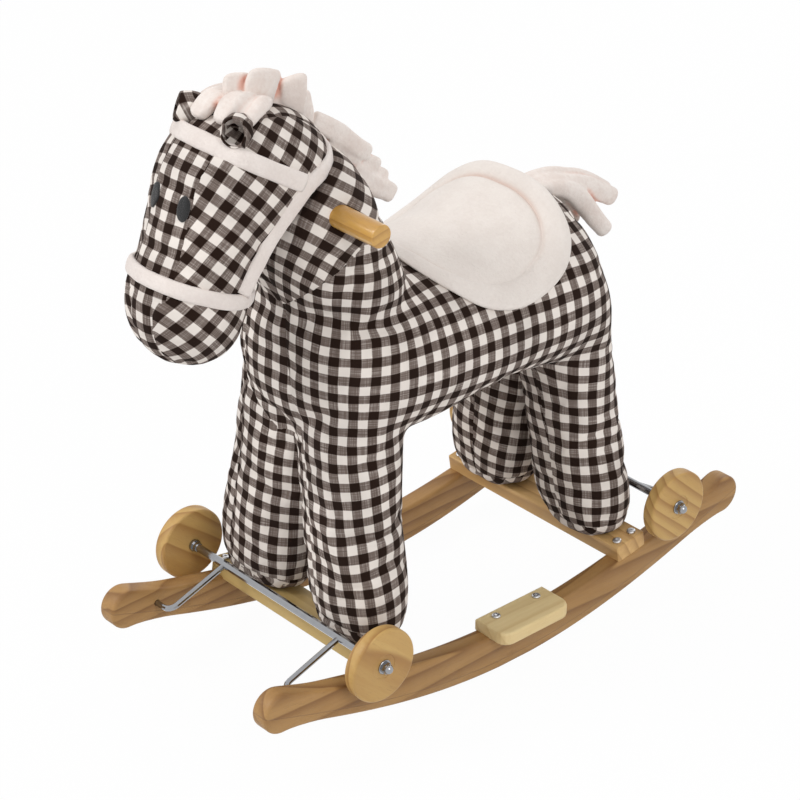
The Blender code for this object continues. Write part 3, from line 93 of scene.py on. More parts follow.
def throughModifier(mesh, name, kind, **settings):
    helper = addObject(name, mesh)
    modifier = helper.modifiers.new(name, kind)
    for key, value in settings.items():
        setattr(modifier, key, value)
    made = bakedMesh(helper)
    bpy.data.objects.remove(helper)
    bpy.data.meshes.remove(mesh)
    return made


def addSubdivision(piece):
    modifier = piece.modifiers.new("subdivision", "SUBSURF")
    modifier.levels = modifier.render_levels = 1


def copyNodes(*names):
    bm = bmesh.new()
    for name in names:
        bm.from_mesh(nodes[name].data)
    bmesh.ops.remove_doubles(bm, verts=bm.verts, dist=weld * 4)
    return bm


def treeOf(piece):
    return BVHTree.FromObject(piece, bpy.context.evaluated_depsgraph_get())


def skinPoint(trees, middle, direction, reach=0.3):
    # first place of the skin met on the way in to middle
    hits = [tree.ray_cast(middle + direction * reach, -direction) for tree in trees]
    return min((hit for hit in hits if hit[0] is not None), key=lambda hit: hit[3])[:2]


def nearestSkin(tree, place):
    return tree.find_nearest(place)[:2]


def circle(count):
    return [math.tau * k / count for k in range(count)]


def sweep(bm, rings, closed=False):
    # a circle of edges, extruded from ring to ring
    ring = bmesh.ops.create_circle(bm, segments=len(rings[0]), radius=1.0)["verts"]
    edges = list({edge for vert in ring for edge in vert.link_edges})
    if not closed:
        bm.faces.new(list(reversed(ring)))
    for vert, place in zip(ring, rings[0]):
        vert.co = place
    for places in rings[1:] + (rings[:1] if closed else []):
        grown = bmesh.ops.extrude_edge_only(bm, edges=edges)["geom"]
        twins = {tuple(item.co): item for item in grown if isinstance(item, bmesh.types.BMVert)}
        ring = [twins[tuple(vert.co)] for vert in ring]
        edges = [item for item in grown if isinstance(item, bmesh.types.BMEdge)]
        for vert, place in zip(ring, places):
            vert.co = place
    if not closed:
        bm.faces.new(ring)


def spinSolid(bm, profile, segments, matrix):
    # profile of (along X, radius) turned about X, then placed
    line = [bm.verts.new((along, 0.0, radius)) for along, radius in profile]
    edges = [bm.edges.new(pair) for pair in zip(line, line[1:])]
    bmesh.ops.spin(bm, geom=line + edges, cent=(0, 0, 0), axis=(1, 0, 0), dvec=(0, 0, 0),
                   angle=math.tau, steps=segments, use_merge=True, use_duplicate=False)
    bmesh.ops.transform(bm, matrix=matrix, verts=bm.verts)
    bmesh.ops.remove_doubles(bm, verts=bm.verts, dist=weld)


def mirrorRight(bm, side):
    if side == "right":
        bmesh.ops.scale(bm, vec=(-1, 1, 1), verts=bm.verts)


def roundCorner(corner, before, after, radius, steps):
    # a profile's corner as a short arc
    corner, before, after = Vector(corner), Vector(before), Vector(after)
    start = corner + (before - corner).normalized() * radius
    end = corner + (after - corner).normalized() * radius
    shares = [i / steps for i in range(steps + 1)]
    return [tuple(start * (1 - t) ** 2 + corner * 2 * t * (1 - t) + end * t ** 2) for t in shares]


def roundRim(start, end, radius, ease, steps):
    # the two outer corners of a turned piece
    return (roundCorner((start, radius), (start, 0), (end, radius), ease, steps)
            + roundCorner((end, radius), (start, radius), (end, 0), ease, steps))


def ovalPoint(angle, squareness):
    power = 2.0 / squareness
    across, up = math.cos(angle), math.sin(angle)
    return math.copysign(abs(across) ** power, across), math.copysign(abs(up) ** power, up)


def valueAt(values, position):
    # a list read between its entries
    index = min(int(position), len(values) - 2)
    part = position - index
    return values[index] * (1 - part) + values[index + 1] * part


def smoothCurve(points, count, fineness=16):
    # places at even steps along a smooth curve through the points
    points = [Vector(point) for point in points]
    ends = [points[0] * 2 - points[1]] + points + [points[-1] * 2 - points[-2]]
    dense = []
    for a, b, c, d in zip(ends, ends[1:], ends[2:], ends[3:]):
        for i in range(fineness):
            t = i / fineness
            dense.append((b * 2 + (c - a) * t + (a * 2 - b * 5 + c * 4 - d) * t * t
                          + (b * 3 - a - c * 3 + d) * t ** 3) / 2)
    dense.append(points[-1])
    lengths = [0.0]
    for a, b in zip(dense, dense[1:]):
        lengths.append(lengths[-1] + (b - a).length)
    places, index = [], 0
    for i in range(count):
        wanted = lengths[-1] * i / (count - 1)
        while index < len(dense) - 2 and lengths[index + 1] < wanted:
            index += 1
        part = (wanted - lengths[index]) / max(lengths[index + 1] - lengths[index], 1e-9)
        places.append(dense[index].lerp(dense[index + 1], min(part, 1.0)))
    return places


# Shader helpers

class Signal:
    # one output of a shader node, which sums can be written with

    def __init__(self, tree, socket):
        self.tree, self.socket = tree, socket

    def __getitem__(self, name):
        return Signal(self.tree, self.socket.node.outputs[name])

    def math(self, operation, *values, clamp=False):
        return addNode(self.tree, "Math", dict(enumerate((self, *values))),
                       operation=operation, use_clamp=clamp)

    def __add__(self, other):
        return self.math("ADD", other)

    def __sub__(self, other):
        return self.math("SUBTRACT", other)

    def __mul__(self, other):
        return self.math("MULTIPLY", other)

    def __truediv__(self, other):
        return self.math("DIVIDE", other)

    def __pow__(self, other):
        return self.math("POWER", other)

    def flipped(self):
        return self.math("MULTIPLY_ADD", -1.0, 1.0)

    def ramp(self, low, high, toLow=0.0, toHigh=1.0, kind="SMOOTHSTEP"):
        return addNode(self.tree, "MapRange", {"Value": self, "From Min": low, "From Max": high,
                                               "To Min": toLow, "To Max": toHigh}, interpolation_type=kind)

    def noise(self, scale, detail=2.0, rough=0.5, output="Fac"):
        return addNode(self.tree, "TexNoise", {"Vector": self, "Scale": scale, "Detail": detail,
                                               "Roughness": rough}, output)

    def mapped(self, scale=(1, 1, 1), turn=(0, 0, 0), move=(0, 0, 0)):
        return addNode(self.tree, "Mapping",
                       {"Vector": self, "Scale": scale, "Rotation": turn, "Location": move})

    def vector(self, operation, inputs):
        return addNode(self.tree, "VectorMath", {0: self, **inputs}, operation=operation)

    def pushed(self, colors, amount):
        # the place moved about by a coloured noise
        shift = colors.vector("SUBTRACT", {1: (0.5, 0.5, 0.5)}).vector("SCALE", {"Scale": amount})
        return self.vector("ADD", {1: shift})


def plug(tree, target, value):
    if isinstance(value, Signal):
        tree.links.new(value.socket, target)
    else:
        target.default_value = value


def addNode(tree, kind, inputs=None, output=0, **settings):
    node = tree.nodes.new("ShaderNode" + kind)
    for name, value in settings.items():
        setattr(node, name, value)
    for name, value in (inputs or {}).items():
        plug(tree, node.inputs[name], value)
    return Signal(tree, node.outputs[output]) if node.outputs else node


def addMix(tree, factor, first, second, blend="MIX"):
    # the colour inputs and output of this node share their names with others, and go by number
    return addNode(tree, "Mix", {0: factor, 6: first, 7: second}, 2, data_type="RGBA", blend_type=blend)


def makeGroup(name, inputs, outputs):
    # a default of None makes a vector input, a number a float and four numbers a colour
    tree = bpy.data.node_groups.new(name, "ShaderNodeTree")
    for socketName, value in inputs.items():
        kind = "Vector" if value is None else "Color" if isinstance(value, tuple) else "Float"
        socket = tree.interface.new_socket(socketName, in_out="INPUT", socket_type="NodeSocket" + kind)
        if value is not None:
            socket.default_value = value
    for socketName in outputs:
        kind = "Color" if socketName == "Color" else "Float"
        tree.interface.new_socket(socketName, in_out="OUTPUT", socket_type="NodeSocket" + kind)
    given = Signal(tree, tree.nodes.new("NodeGroupInput").outputs[0])
    target = tree.nodes.new("NodeGroupOutput")

    def give(**values):
        for socketName, value in values.items():
            plug(tree, target.inputs[socketName], value)
        return tree

    return tree, given, give


def newMaterial(name, roughness, color, values):
    # the material, its tree, its shader's inputs, and the place on the object
    material = bpy.data.materials.new(name)
    material.use_nodes = True
    material.diffuse_color = (*color, 1.0)
    tree = material.node_tree
    shader = tree.nodes["Principled BSDF"].inputs
    for socketName, value in {"Base Color": (*color, 1.0), "Roughness": roughness, **values}.items():
        shader[socketName].default_value = value
    return material, tree, shader, addNode(tree, "TexCoord", output="Object")


def addBump(tree, shader, height, distance, strength=1.0):
    plug(tree, shader["Normal"], addNode(tree, "Bump", {"Height": height, "Distance": distance,
                                                        "Strength": strength}))


print("helpers ready")


# Camera, light and floor

view = {
    "azimuth": math.radians(48.426),
    "elevation": math.radians(28.855),
    "distance": 2.7746,
    "target": (-0.04504, 0.0, 0.22117),
    "lens": 126.5, "sensor": 36.0, "farClip": 60.0,
    "lampTarget": (0, 0, 0.3),
    "floorHalf": 15.0,
    "floorColor": (0.80, 0.80, 0.80, 1.0),
    "floorWhite": 0.97,              # share of plain white in what the camera sees of the floor
    "white": (1.0, 1.0, 1.0, 1.0),
    "skyStrength": 0.62,
    "lamps": [                       # name, place, size, power
        ("keyLamp", (-1.5, -2.6, 2.8), 1.6, 62.0),
        ("nearLamp", (2.8, -0.6, 2.2), 2.0, 34.0),
        ("backLamp", (-0.8, 2.8, 2.4), 1.8, 26.0),
    ],
}


def seenDirectly(tree):
    # 1 for what the camera sees, straight, mirrored or through glass
    path = addNode(tree, "LightPath")
    seen = path["Is Glossy Ray"].math("MAXIMUM", path["Is Transmission Ray"])
    return path["Is Camera Ray"].math("MAXIMUM", seen)


def makeCamera():
    data = bpy.data.cameras.new("photoCamera")
    data.lens = view["lens"]
    data.sensor_width = view["sensor"]
    data.clip_end = view["farClip"]
    data.dof.use_dof = False
    camera = addObject("photoCamera", data)
    flat = math.cos(view["elevation"])
    towards = Vector((math.sin(view["azimuth"]) * flat, -math.cos(view["azimuth"]) * flat,
                      math.sin(view["elevation"])))
    camera.location = at(*view["target"]) + towards * view["distance"]
    camera.rotation_euler = towards.to_track_quat("Z", "Y").to_euler()
    bpy.context.scene.camera = camera


def makeLight():
    for name, place, size, power in view["lamps"]:
        data = bpy.data.lights.new(name, "AREA")
        data.shape = "DISK"
        data.size = size
        data.energy = power
        lamp = addObject(name, data)
        lamp.location = at(*place)
        lamp.rotation_euler = (lamp.location - at(*view["lampTarget"])).to_track_quat("Z", "Y").to_euler()
    world = bpy.data.worlds.new("studio")
    world.use_nodes = True
    bpy.context.scene.world = world
    background = world.node_tree.nodes["Background"].inputs
    background["Color"].default_value = view["white"]
    plug(world.node_tree, background["Strength"],
         seenDirectly(world.node_tree).ramp(0.0, 1.0, view["skyStrength"], 1.0, "LINEAR"))


def makeFloor():
    bm = bmesh.new()
    bmesh.ops.create_grid(bm, x_segments=1, y_segments=1, size=view["floorHalf"])
    floor = addObject("floor", toMesh(bm, "floor"))
    material = bpy.data.materials.new("paleFloor")
    material.use_nodes = True
    tree = material.node_tree
    tree.nodes.clear()
    matt = addNode(tree, "BsdfDiffuse", {"Color": view["floorColor"]})
    white = addNode(tree, "Emission", {"Color": view["white"], "Strength": 1.0})
    mix = addNode(tree, "MixShader", {"Fac": seenDirectly(tree) * view["floorWhite"], 1: matt, 2: white})
    addNode(tree, "OutputMaterial", {"Surface": mix})
    floor.data.materials.append(material)


bpy.context.scene.view_settings.view_transform = "Standard"
makeCamera()
makeLight()
makeFloor()
print("camera, lamps and floor")


# Shader groups that several materials share

def makeGinghamGroup():
    # checked cotton on a cloth map in metres: dark, mixed and pale squares, with yarns
    tree, given, give = makeGroup("gingham", {
        "Cloth": None, "Stripe": 0.0094, "Yarn": 0.0009, "Dark": (0, 0, 0, 1), "Middle": (0.2, 0.2, 0.2, 1),
        "Pale": (0.8, 0.8, 0.8, 1)}, ("Color", "Height"))
    cloth, stripe, yarn = given["Cloth"], given["Stripe"], given["Yarn"]
    place = addNode(tree, "SeparateXYZ", {0: cloth.pushed(cloth.noise(26.0, output="Color"), 0.0032)})
    half, soft = stripe * 0.5, yarn * 0.45
    low, high = half - soft, half + soft
    bands, waves, slubs = [], [], []
    for axis, stretch in (("X", (18.0, 900.0, 1.0)), ("Y", (900.0, 18.0, 1.0))):
        bands.append(place[axis].math("PINGPONG", stripe).ramp(low, high))
        waves.append((place[axis] / (yarn * (1 / math.tau))).math("SINE"))
        slubs.append(cloth.mapped(stretch).noise(1.0, 1.0))
    level, weave, slub = ((first + second) * 0.5 for first, second in (bands, waves, slubs))
    # the mixed squares show single yarns of both colours
    mixed = level.math("MULTIPLY_ADD", 2.0, -1.0).math("ABSOLUTE").flipped()
    yarns = mixed * slub.math("MULTIPLY_ADD", 0.9, -0.45)
    mottled = level + weave.math("MULTIPLY_ADD", 0.02, yarns)
    toMiddle = mottled.math("MULTIPLY", 2.0, clamp=True)
    toDark = mottled.math("MULTIPLY_ADD", 2.0, -1.0, clamp=True)
    color = addMix(tree, toDark, addMix(tree, toMiddle, given["Pale"], given["Middle"]), given["Dark"])
    return give(Color=color, Height=weave.math("MULTIPLY_ADD", 0.5, slub))


def makeNapGroup():
    # short brushed pile: patches laid one way or another, tufts and single fibres
    _, given, give = makeGroup("brushedNap", {"Place": None, "Tuft": 260.0}, ("Shade", "Height"))
    place, tuft = given["Place"], given["Tuft"]
    patches, tufts = place.noise(42.0, 3.0, 0.55), place.noise(tuft, 3.0, 0.6)
    fibres = place.noise(tuft * 5.0, 2.0, 0.6)
    return give(Shade=(patches * 0.6 + tufts * 0.4).ramp(0.36, 0.64),
                Height=fibres.math("MULTIPLY_ADD", 0.35, tufts))


def makeGrainGroup():
    # pine sawn along X: growth rings, fine streaks and pores, and a few small knots
    tree, given, give = makeGroup("woodGrain", {"Place": None, "Rings": 60.0, "Wander": 1.0, "Knots": 0.0},
                                  ("Ring", "Streak", "Pore", "Knot"))
    place, knots = given["Place"], given["Knots"]
    spots = addNode(tree, "TexVoronoi", {
        "Vector": place.mapped((9.0, 15.0, 15.0), move=(0.3, 0.1, 0.4)),
        "Scale": 1.0, "Randomness": 1.0}, "Distance")
    nearSpot = spots.ramp(0.30, 0.02) * knots
    moved = place.pushed(place.mapped((2.4, 9.0, 9.0)).noise(1.0, output="Color"), given["Wander"] * 0.030)
    across = addNode(tree, "SeparateXYZ", {0: moved})
    far = (across["Y"] + 0.055) ** 2.0 + (across["Z"] + 0.085) ** 2.0
    turn = ((far.math("SQRT") + nearSpot * 0.006) * given["Rings"]).math("FRACT")
    # pale early wood darkens slowly to the late wood and drops back at once
    ring = turn ** 2.2 * turn.ramp(1.0, 0.88)
    return give(Ring=ring * 1.5,
                Streak=moved.mapped((5.0, 130.0, 130.0)).noise(1.0, 4.0, 0.6),
                Pore=moved.mapped((70.0, 1500.0, 1500.0)).noise(1.0).ramp(0.55, 0.75),
                Knot=spots.ramp(0.07, 0.02) * knots)


def makeWearGroup():
    # handling: soft cloudy dulling and a few fine scratches
    _, given, give = makeGroup("handling", {"Place": None, "Low": 0.3, "High": 0.5}, ("Roughness", "Scratch"))
    place = given["Place"]
    scratch = place.mapped((60.0, 900.0, 700.0), (0.5, 0.4, 0.7)).noise(1.0).ramp(0.68, 0.74)
    cloud = place.noise(34.0, 4.0, 0.6).ramp(0.3, 0.7, given["Low"], given["High"], "LINEAR")
    return give(Roughness=scratch.math("MULTIPLY_ADD", 0.08, cloud), Scratch=scratch)


gingham = makeGinghamGroup()
brushedNap = makeNapGroup()
woodGrain = makeGrainGroup()
handling = makeWearGroup()
print("shader groups")


# Materials

def makeCheckedCotton(name):
    material, tree, shader, place = newMaterial(name, 0.9, (0.30, 0.26, 0.24), {
        "Sheen Weight": 0.015, "Sheen Roughness": 0.6, "Specular IOR Level": 0.08})
    out = addNode(tree, "Group", {
        "Cloth": addNode(tree, "UVMap", uv_map="cloth"), "Stripe": 0.0094, "Yarn": 0.0009,
        "Dark": (0.017, 0.008, 0.005, 1), "Middle": (0.175, 0.136, 0.118, 1), "Pale": (0.80, 0.735, 0.68, 1),
    }, node_tree=gingham)
    # random lighter and darker patches over the whole cloth
    patchyTone = place.noise(18.0, 3.0).ramp(0.3, 0.7, 0.90, 1.06)
    grey = addNode(tree, "CombineColor", {"Red": patchyTone, "Green": patchyTone, "Blue": patchyTone})
    plug(tree, shader["Base Color"], addMix(tree, 1.0, out["Color"], grey, "MULTIPLY"))
    creases = place.noise(55.0, 3.0, 0.55)
    addBump(tree, shader, out["Height"].math("MULTIPLY_ADD", 0.10, creases), 0.0022, 0.55)
    return material


# fold is the salmon colour of the painted shade in folds and creases
def makePlush(name, color, deep, tuft, fold=(0.72, 0.38, 0.29)):
    material, tree, shader, place = newMaterial(name, 0.95, color, {
        "Sheen Weight": 0.25, "Sheen Roughness": 0.45, "Specular IOR Level": 0.15})
    out = addNode(tree, "Group", {"Place": place, "Tuft": tuft}, node_tree=brushedNap)
    brushed = addMix(tree, out["Shade"], (*deep, 1.0), (*color, 1.0))
    # painted shade: the fold colour is mixed in where a point lies deep in a fold
    paintedFoldShade = addNode(tree, "Attribute", output="Fac", attribute_name="paintedFoldShade")
    share = paintedFoldShade.math("MULTIPLY", 0.85, clamp=True)
    plug(tree, shader["Base Color"], addMix(tree, share, brushed, (*fold, 1.0)))
    addBump(tree, shader, out["Height"], 0.0011, 0.8)
    return material


def makeFelt(name):
    material, tree, shader, place = newMaterial(name, 0.9, (0.012, 0.012, 0.013), {"Sheen Weight": 0.3})
    out = addNode(tree, "Group", {"Place": place, "Tuft": 900.0}, node_tree=brushedNap)
    plug(tree, shader["Base Color"],
         addMix(tree, out["Shade"], (0.008, 0.008, 0.009, 1), (0.020, 0.019, 0.019, 1)))
    addBump(tree, shader, out["Height"], 0.0005)
    return material


def addWear(tree, shader, place, rough):
    wear = addNode(tree, "Group", {"Place": place, "Low": rough[0], "High": rough[1]}, node_tree=handling)
    plug(tree, shader["Roughness"], wear["Roughness"])
    return wear


def makeWood(name, pale, tan, dark, rings, wander, knots=0.0, turn=(0, 0, 0), rough=(0.42, 0.58),
             ringShare=0.55, glue=None, coat=0.0, move=(0, 0, 0)):
    material, tree, shader, place = newMaterial(name, 0.5, tan, {
        "Coat Weight": coat, "Coat Roughness": 0.12, "Specular IOR Level": 0.35})
    out = addNode(tree, "Group", {"Place": place.mapped(turn=turn, move=move), "Rings": rings,
                                  "Wander": wander, "Knots": knots}, node_tree=woodGrain)
    color = addMix(tree, out["Streak"].ramp(0.34, 0.66) * 0.5, (*pale, 1), (*tan, 1))
    color = addMix(tree, out["Ring"].math("MULTIPLY", ringShare, clamp=True), color, (*dark, 1))
    color = addMix(tree, out["Pore"] * 0.22, color, (*dark, 1))
    color = addMix(tree, out["Knot"], color, (*(c * 0.28 for c in dark), 1))
    height = out["Pore"].math("MULTIPLY_ADD", -1.0, out["Ring"] * -0.3)
    if glue:
        color, height = addGlueLine(tree, place, color, height, glue, pale)
    plug(tree, shader["Base Color"], color)
    addWear(tree, shader, place, rough)
    addBump(tree, shader, height, 0.0003, 0.6)
    return material


def addGlueLine(tree, place, color, height, glue, pale):
    # the strip glued under each rocker follows its lower edge: z = rise t^2 (1 - ease t^2)
    parts = addNode(tree, "SeparateXYZ", {0: place})
    t = (parts["Y"] - middleY) / glue["tipY"]
    square = t * t
    above = parts["Z"] - square * glue["rise"] * square.math("MULTIPLY_ADD", -glue["ease"], 1.0)
    strip = above.ramp(glue["height"] + 0.0002, glue["height"] - 0.0002)
    joint = (above - glue["height"]).math("ABSOLUTE").ramp(0.0002, 0.0007).flipped()
    color = addMix(tree, strip * 0.35, color, (*pale, 1))
    color = addMix(tree, joint * 0.45, color, (0.18, 0.10, 0.05, 1))
    return color, joint.math("MULTIPLY_ADD", -0.8, height)


def makeSteel(name, color, rough, brushed):
    material, tree, shader, place = newMaterial(name, 0.3, color, {"Metallic": 1.0})
    wear = addWear(tree, shader, place, rough)
    tint = place.noise(120.0).ramp(0.3, 0.7, 0.86, 1.0)
    plug(tree, shader["Base Color"], addMix(tree, tint, (*(c * 0.55 for c in color), 1), (*color, 1)))
    lines = place.mapped((1400.0, 90.0, 90.0)).noise(1.0)
    addBump(tree, shader, wear["Scratch"].math("MULTIPLY_ADD", 0.4, lines), brushed)
    return material


rockerEdge = {"rise": 0.0700, "ease": 0.152, "tipY": 0.295, "height": 0.0088}
checkedCotton = makeCheckedCotton("checkedCotton")
creamPlush = makePlush("creamPlush", (0.84, 0.765, 0.715), (0.77, 0.67, 0.615), 260.0)
# the saddle's last colour is the painted shade in its sewn groove and rolled rim
saddlePlush = makePlush("saddlePlush", (0.81, 0.745, 0.695), (0.77, 0.70, 0.65), 300.0, (0.66, 0.50, 0.43))
strapPlush = makePlush("strapPlush", (0.82, 0.745, 0.70), (0.76, 0.68, 0.635), 340.0)
blackFelt = makeFelt("blackFelt")
rockerWood = makeWood("rockerWood", (0.43, 0.245, 0.090), (0.335, 0.172, 0.057), (0.18, 0.078, 0.024),
                      75.0, 1.0, 0.6, turn=(0, 0, quarter), glue=rockerEdge, ringShare=0.62)
boardWood = makeWood("boardWood", (0.70, 0.45, 0.19), (0.59, 0.35, 0.13), (0.36, 0.18, 0.06), 85.0, 0.8,
                     move=(0.1, 0.02, 0.01))
paleWood = makeWood("paleWood", (0.80, 0.63, 0.335), (0.72, 0.53, 0.26), (0.57, 0.375, 0.155), 70.0, 0.8,
                    turn=(0, 0, quarter), ringShare=0.38)
paleBoardWood = makeWood("paleBoardWood", (0.57, 0.41, 0.165), (0.49, 0.33, 0.12), (0.36, 0.215, 0.068),
                         60.0, 0.8, ringShare=0.35)
wheelWood = makeWood("wheelWood", (0.58, 0.370, 0.130), (0.50, 0.290, 0.092), (0.29, 0.125, 0.034), 95.0, 1.3,
                     turn=(math.radians(42), 0, quarter), ringShare=0.6, rough=(0.36, 0.5))
handleWood = makeWood("handleWood", (0.61, 0.345, 0.080), (0.52, 0.265, 0.052), (0.32, 0.13, 0.02),
                      120.0, 0.6, ringShare=0.45, rough=(0.3, 0.42), coat=0.6)
innerWood = makeWood("innerWood", (0.62, 0.50, 0.34), (0.55, 0.42, 0.27), (0.42, 0.29, 0.16), 70.0, 1.0,
                     turn=(0, quarter, 0), rough=(0.6, 0.8))
# the chrome's dark base colour is painted reflection: it stands in for dark surroundings mirrored in the
# chrome
chromedSteel = makeSteel("chromedSteel", (0.34, 0.345, 0.36), (0.06, 0.16), 0.00002)
zincSteel = makeSteel("zincSteel", (0.66, 0.66, 0.67), (0.28, 0.45), 0.00006)
print("materials")


# Wood and metal: solids whose shape is right keep it

def dress(material, *names):
    for name in names:
        nodes[name].data.materials.clear()
        nodes[name].data.materials.append(material)


dress(boardWood, "rear_cross_board")
dress(paleBoardWood, "front_cross_board")
dress(paleWood, "foot_rest_left", "foot_rest_right")
dress(innerWood, "body_board", "neck_board", *[f"leg_post_{end}_{side}" for end, side in corners])
dress(zincSteel, *[f"leg_bolt_{end}_{side}" for end, side in corners])
for name in ("front_wheel_frame", "rear_wheel_frame"):
    dress(chromedSteel, name)
    nodes[name].data.shade_smooth()
    nodes[name].data.set_sharp_from_angle(angle=math.radians(42))

rocker = {
    "depth": 0.0402, "topRise": 0.0613, "topEase": 0.211, "flat": 0.020, "neckY": 0.262,
    "tipY": 0.295, "tipZ": 0.072, "tipRadius": 0.0207,
    "tipFrom": math.radians(-112.0), "tipTo": math.radians(122.0),
    "round": 0.0034, "steps": 40, "tipSteps": 28, "easing": 3,
    "pivot": (0.26195, 0.0665), "boreRadius": 0.0033, "boreDepth": 0.0123,
}


def lowerEdge(y):
    t, flat = y / rocker["tipY"], rocker["flat"] / rocker["tipY"]
    return rockerEdge["rise"] * (t * t * (1 - rockerEdge["ease"] * t * t) - flat * flat)


def upperEdge(y):
    t = y / rocker["tipY"]
    return rocker["depth"] + rocker["topRise"] * t * t * (1 - rocker["topEase"] * t * t)


def rockerOutline():
    steps, tipSteps, neck, flat = rocker["steps"], rocker["tipSteps"], rocker["neckY"], rocker["flat"]
    half = [(flat + (neck - flat) * i / steps, lowerEdge(flat + (neck - flat) * i / steps))
            for i in range(steps)]
    for i in range(tipSteps + 1):
        angle = rocker["tipFrom"] + (rocker["tipTo"] - rocker["tipFrom"]) * i / tipSteps
        half.append((rocker["tipY"] + rocker["tipRadius"] * math.cos(angle),
                     rocker["tipZ"] + rocker["tipRadius"] * math.sin(angle)))
    half += [(neck * (1 - i / steps), upperEdge(neck * (1 - i / steps))) for i in range(1, steps)]
    # the corners where the bar meets the tip are eased
    for _ in range(rocker["easing"]):
        half = half[:1] + [((a[0] + 2 * b[0] + c[0]) / 4, (a[1] + 2 * b[1] + c[1]) / 4)
                           for a, b, c in zip(half, half[1:], half[2:])] + half[-1:]
    return half + [(0.0, upperEdge(0.0))] + [(-y, z) for y, z in reversed(half)]


def makeRocker(side):
    name = f"rocker_{side}"
    low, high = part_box(name)
    outline = rockerOutline()
    bm = bmesh.new()
    ring = bmesh.ops.create_circle(bm, cap_ends=True, segments=len(outline), radius=1.0)["verts"]
    for vert, (y, z) in zip(ring, outline):
        vert.co = at(low.x, y, z)
    grown = bmesh.ops.extrude_face_region(bm, geom=bm.faces[:])["geom"]
    bmesh.ops.translate(bm, verts=[item for item in grown if isinstance(item, bmesh.types.BMVert)],
                        vec=(high.x - low.x, 0, 0))
    rims = [edge for edge in bm.edges if abs(edge.verts[0].co.x - edge.verts[1].co.x) < 0.000001]
    bmesh.ops.bevel(bm, geom=rims, offset=rocker["round"], offset_type="OFFSET", affect="EDGES", segments=4,
                    profile=0.5, material=-1, clamp_overlap=True)
    inner = low.x if side == "left" else high.x
    drill = bmesh.new()
    for end in (-1, 1):
        place = Matrix.Translation(at(inner, end * rocker["pivot"][0], rocker["pivot"][1]))
        bmesh.ops.create_cone(drill, cap_ends=True, segments=32, radius1=rocker["boreRadius"],
                              radius2=rocker["boreRadius"], depth=rocker["boreDepth"] * 2,
                              matrix=place @ Matrix.Rotation(quarter, 4, "Y"))
    cutter = addObject("drill", toMesh(drill, "drill"))
    mesh = throughModifier(toMesh(bm, name + "Fine"), name, "BOOLEAN", object=cutter, operation="DIFFERENCE",
                           solver="EXACT")
    cutterMesh = cutter.data
    bpy.data.objects.remove(cutter)
    bpy.data.meshes.remove(cutterMesh)
    mesh.set_sharp_from_angle(angle=math.radians(40))
    piece = addPiece(f"roundedRocker_{side}", mesh, rockerWood)
    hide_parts(name)


for side in sides:
    makeRocker(side)

# the wheels and the handle are round where their CAD solids have this many flats
wheel = {"edge": 0.0034, "dish": 0.0006, "dishRadius": 0.0130, "bore": 0.0043, "segments": 96, "cadSides": 24}
handle = {"chamfer": 0.0018, "segments": 64, "cadSides": 20}


def makeWheel(end, side):
    name = f"{end}_wheel_{side}"
    low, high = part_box(name)
    outer, inner = (high.x, low.x) if side == "left" else (-low.x, -high.x)
    radius = (high.z - low.z) / 2 / math.cos(math.pi / wheel["cadSides"])
    centre = (low + high) / 2
    dish, bore = wheel["dish"], wheel["bore"]
    profile = [(inner, bore)] + roundRim(inner, outer, radius, wheel["edge"], 6)
    profile += [(outer, wheel["dishRadius"]), (outer - dish, wheel["dishRadius"] - dish),
                (outer - dish, bore), (inner, bore)]
    bm = bmesh.new()
    spinSolid(bm, profile, wheel["segments"], Matrix.Translation((0, centre.y, centre.z)))
    mirrorRight(bm, side)
    piece = addPiece(f"{end}WoodenWheel_{side}", toMesh(bm, name + "Fine", 30), wheelWood,
                     f"wheel_{end}_{side}")
    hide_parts(name)


for end, side in corners:
    makeWheel(end, side)


def makeHandle():
    low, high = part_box("handle_bar")
    radius = (high.z - low.z) / 2 / math.cos(math.pi / handle["cadSides"])
    half = high.x
    profile = [(-half, 0.0)] + roundRim(-half, half, radius, handle["chamfer"], 5) + [(half, 0.0)]
    bm = bmesh.new()
    spinSolid(bm, profile, handle["segments"],
              Matrix.Translation((0, (low.y + high.y) / 2, (low.z + high.z) / 2)))
    piece = addPiece("turnedHandle", toMesh(bm, "turnedHandle", 40), handleWood)
    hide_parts("handle_bar")


makeHandle()

screw = {"headRadius": 0.0045, "headHeight": 0.0022, "recess": 0.0013, "recessRadius": 0.0019, "segments": 32,
         "shank": 0.0020, "point": 0.004, "under": 0.0003, "crown": 0.45, "flatTop": 0.62, "crownSteps": 5}


def toHexagon(vert, corner):
    # a point of a circle around X moves in to the hexagon whose corners lie on that circle
    angle = math.atan2(vert.co.z, vert.co.y)
    reach = corner * math.cos(math.pi / 6) / math.cos(angle % (math.pi / 3) - math.pi / 6)
    vert.co.y, vert.co.z = reach * math.cos(angle), reach * math.sin(angle)


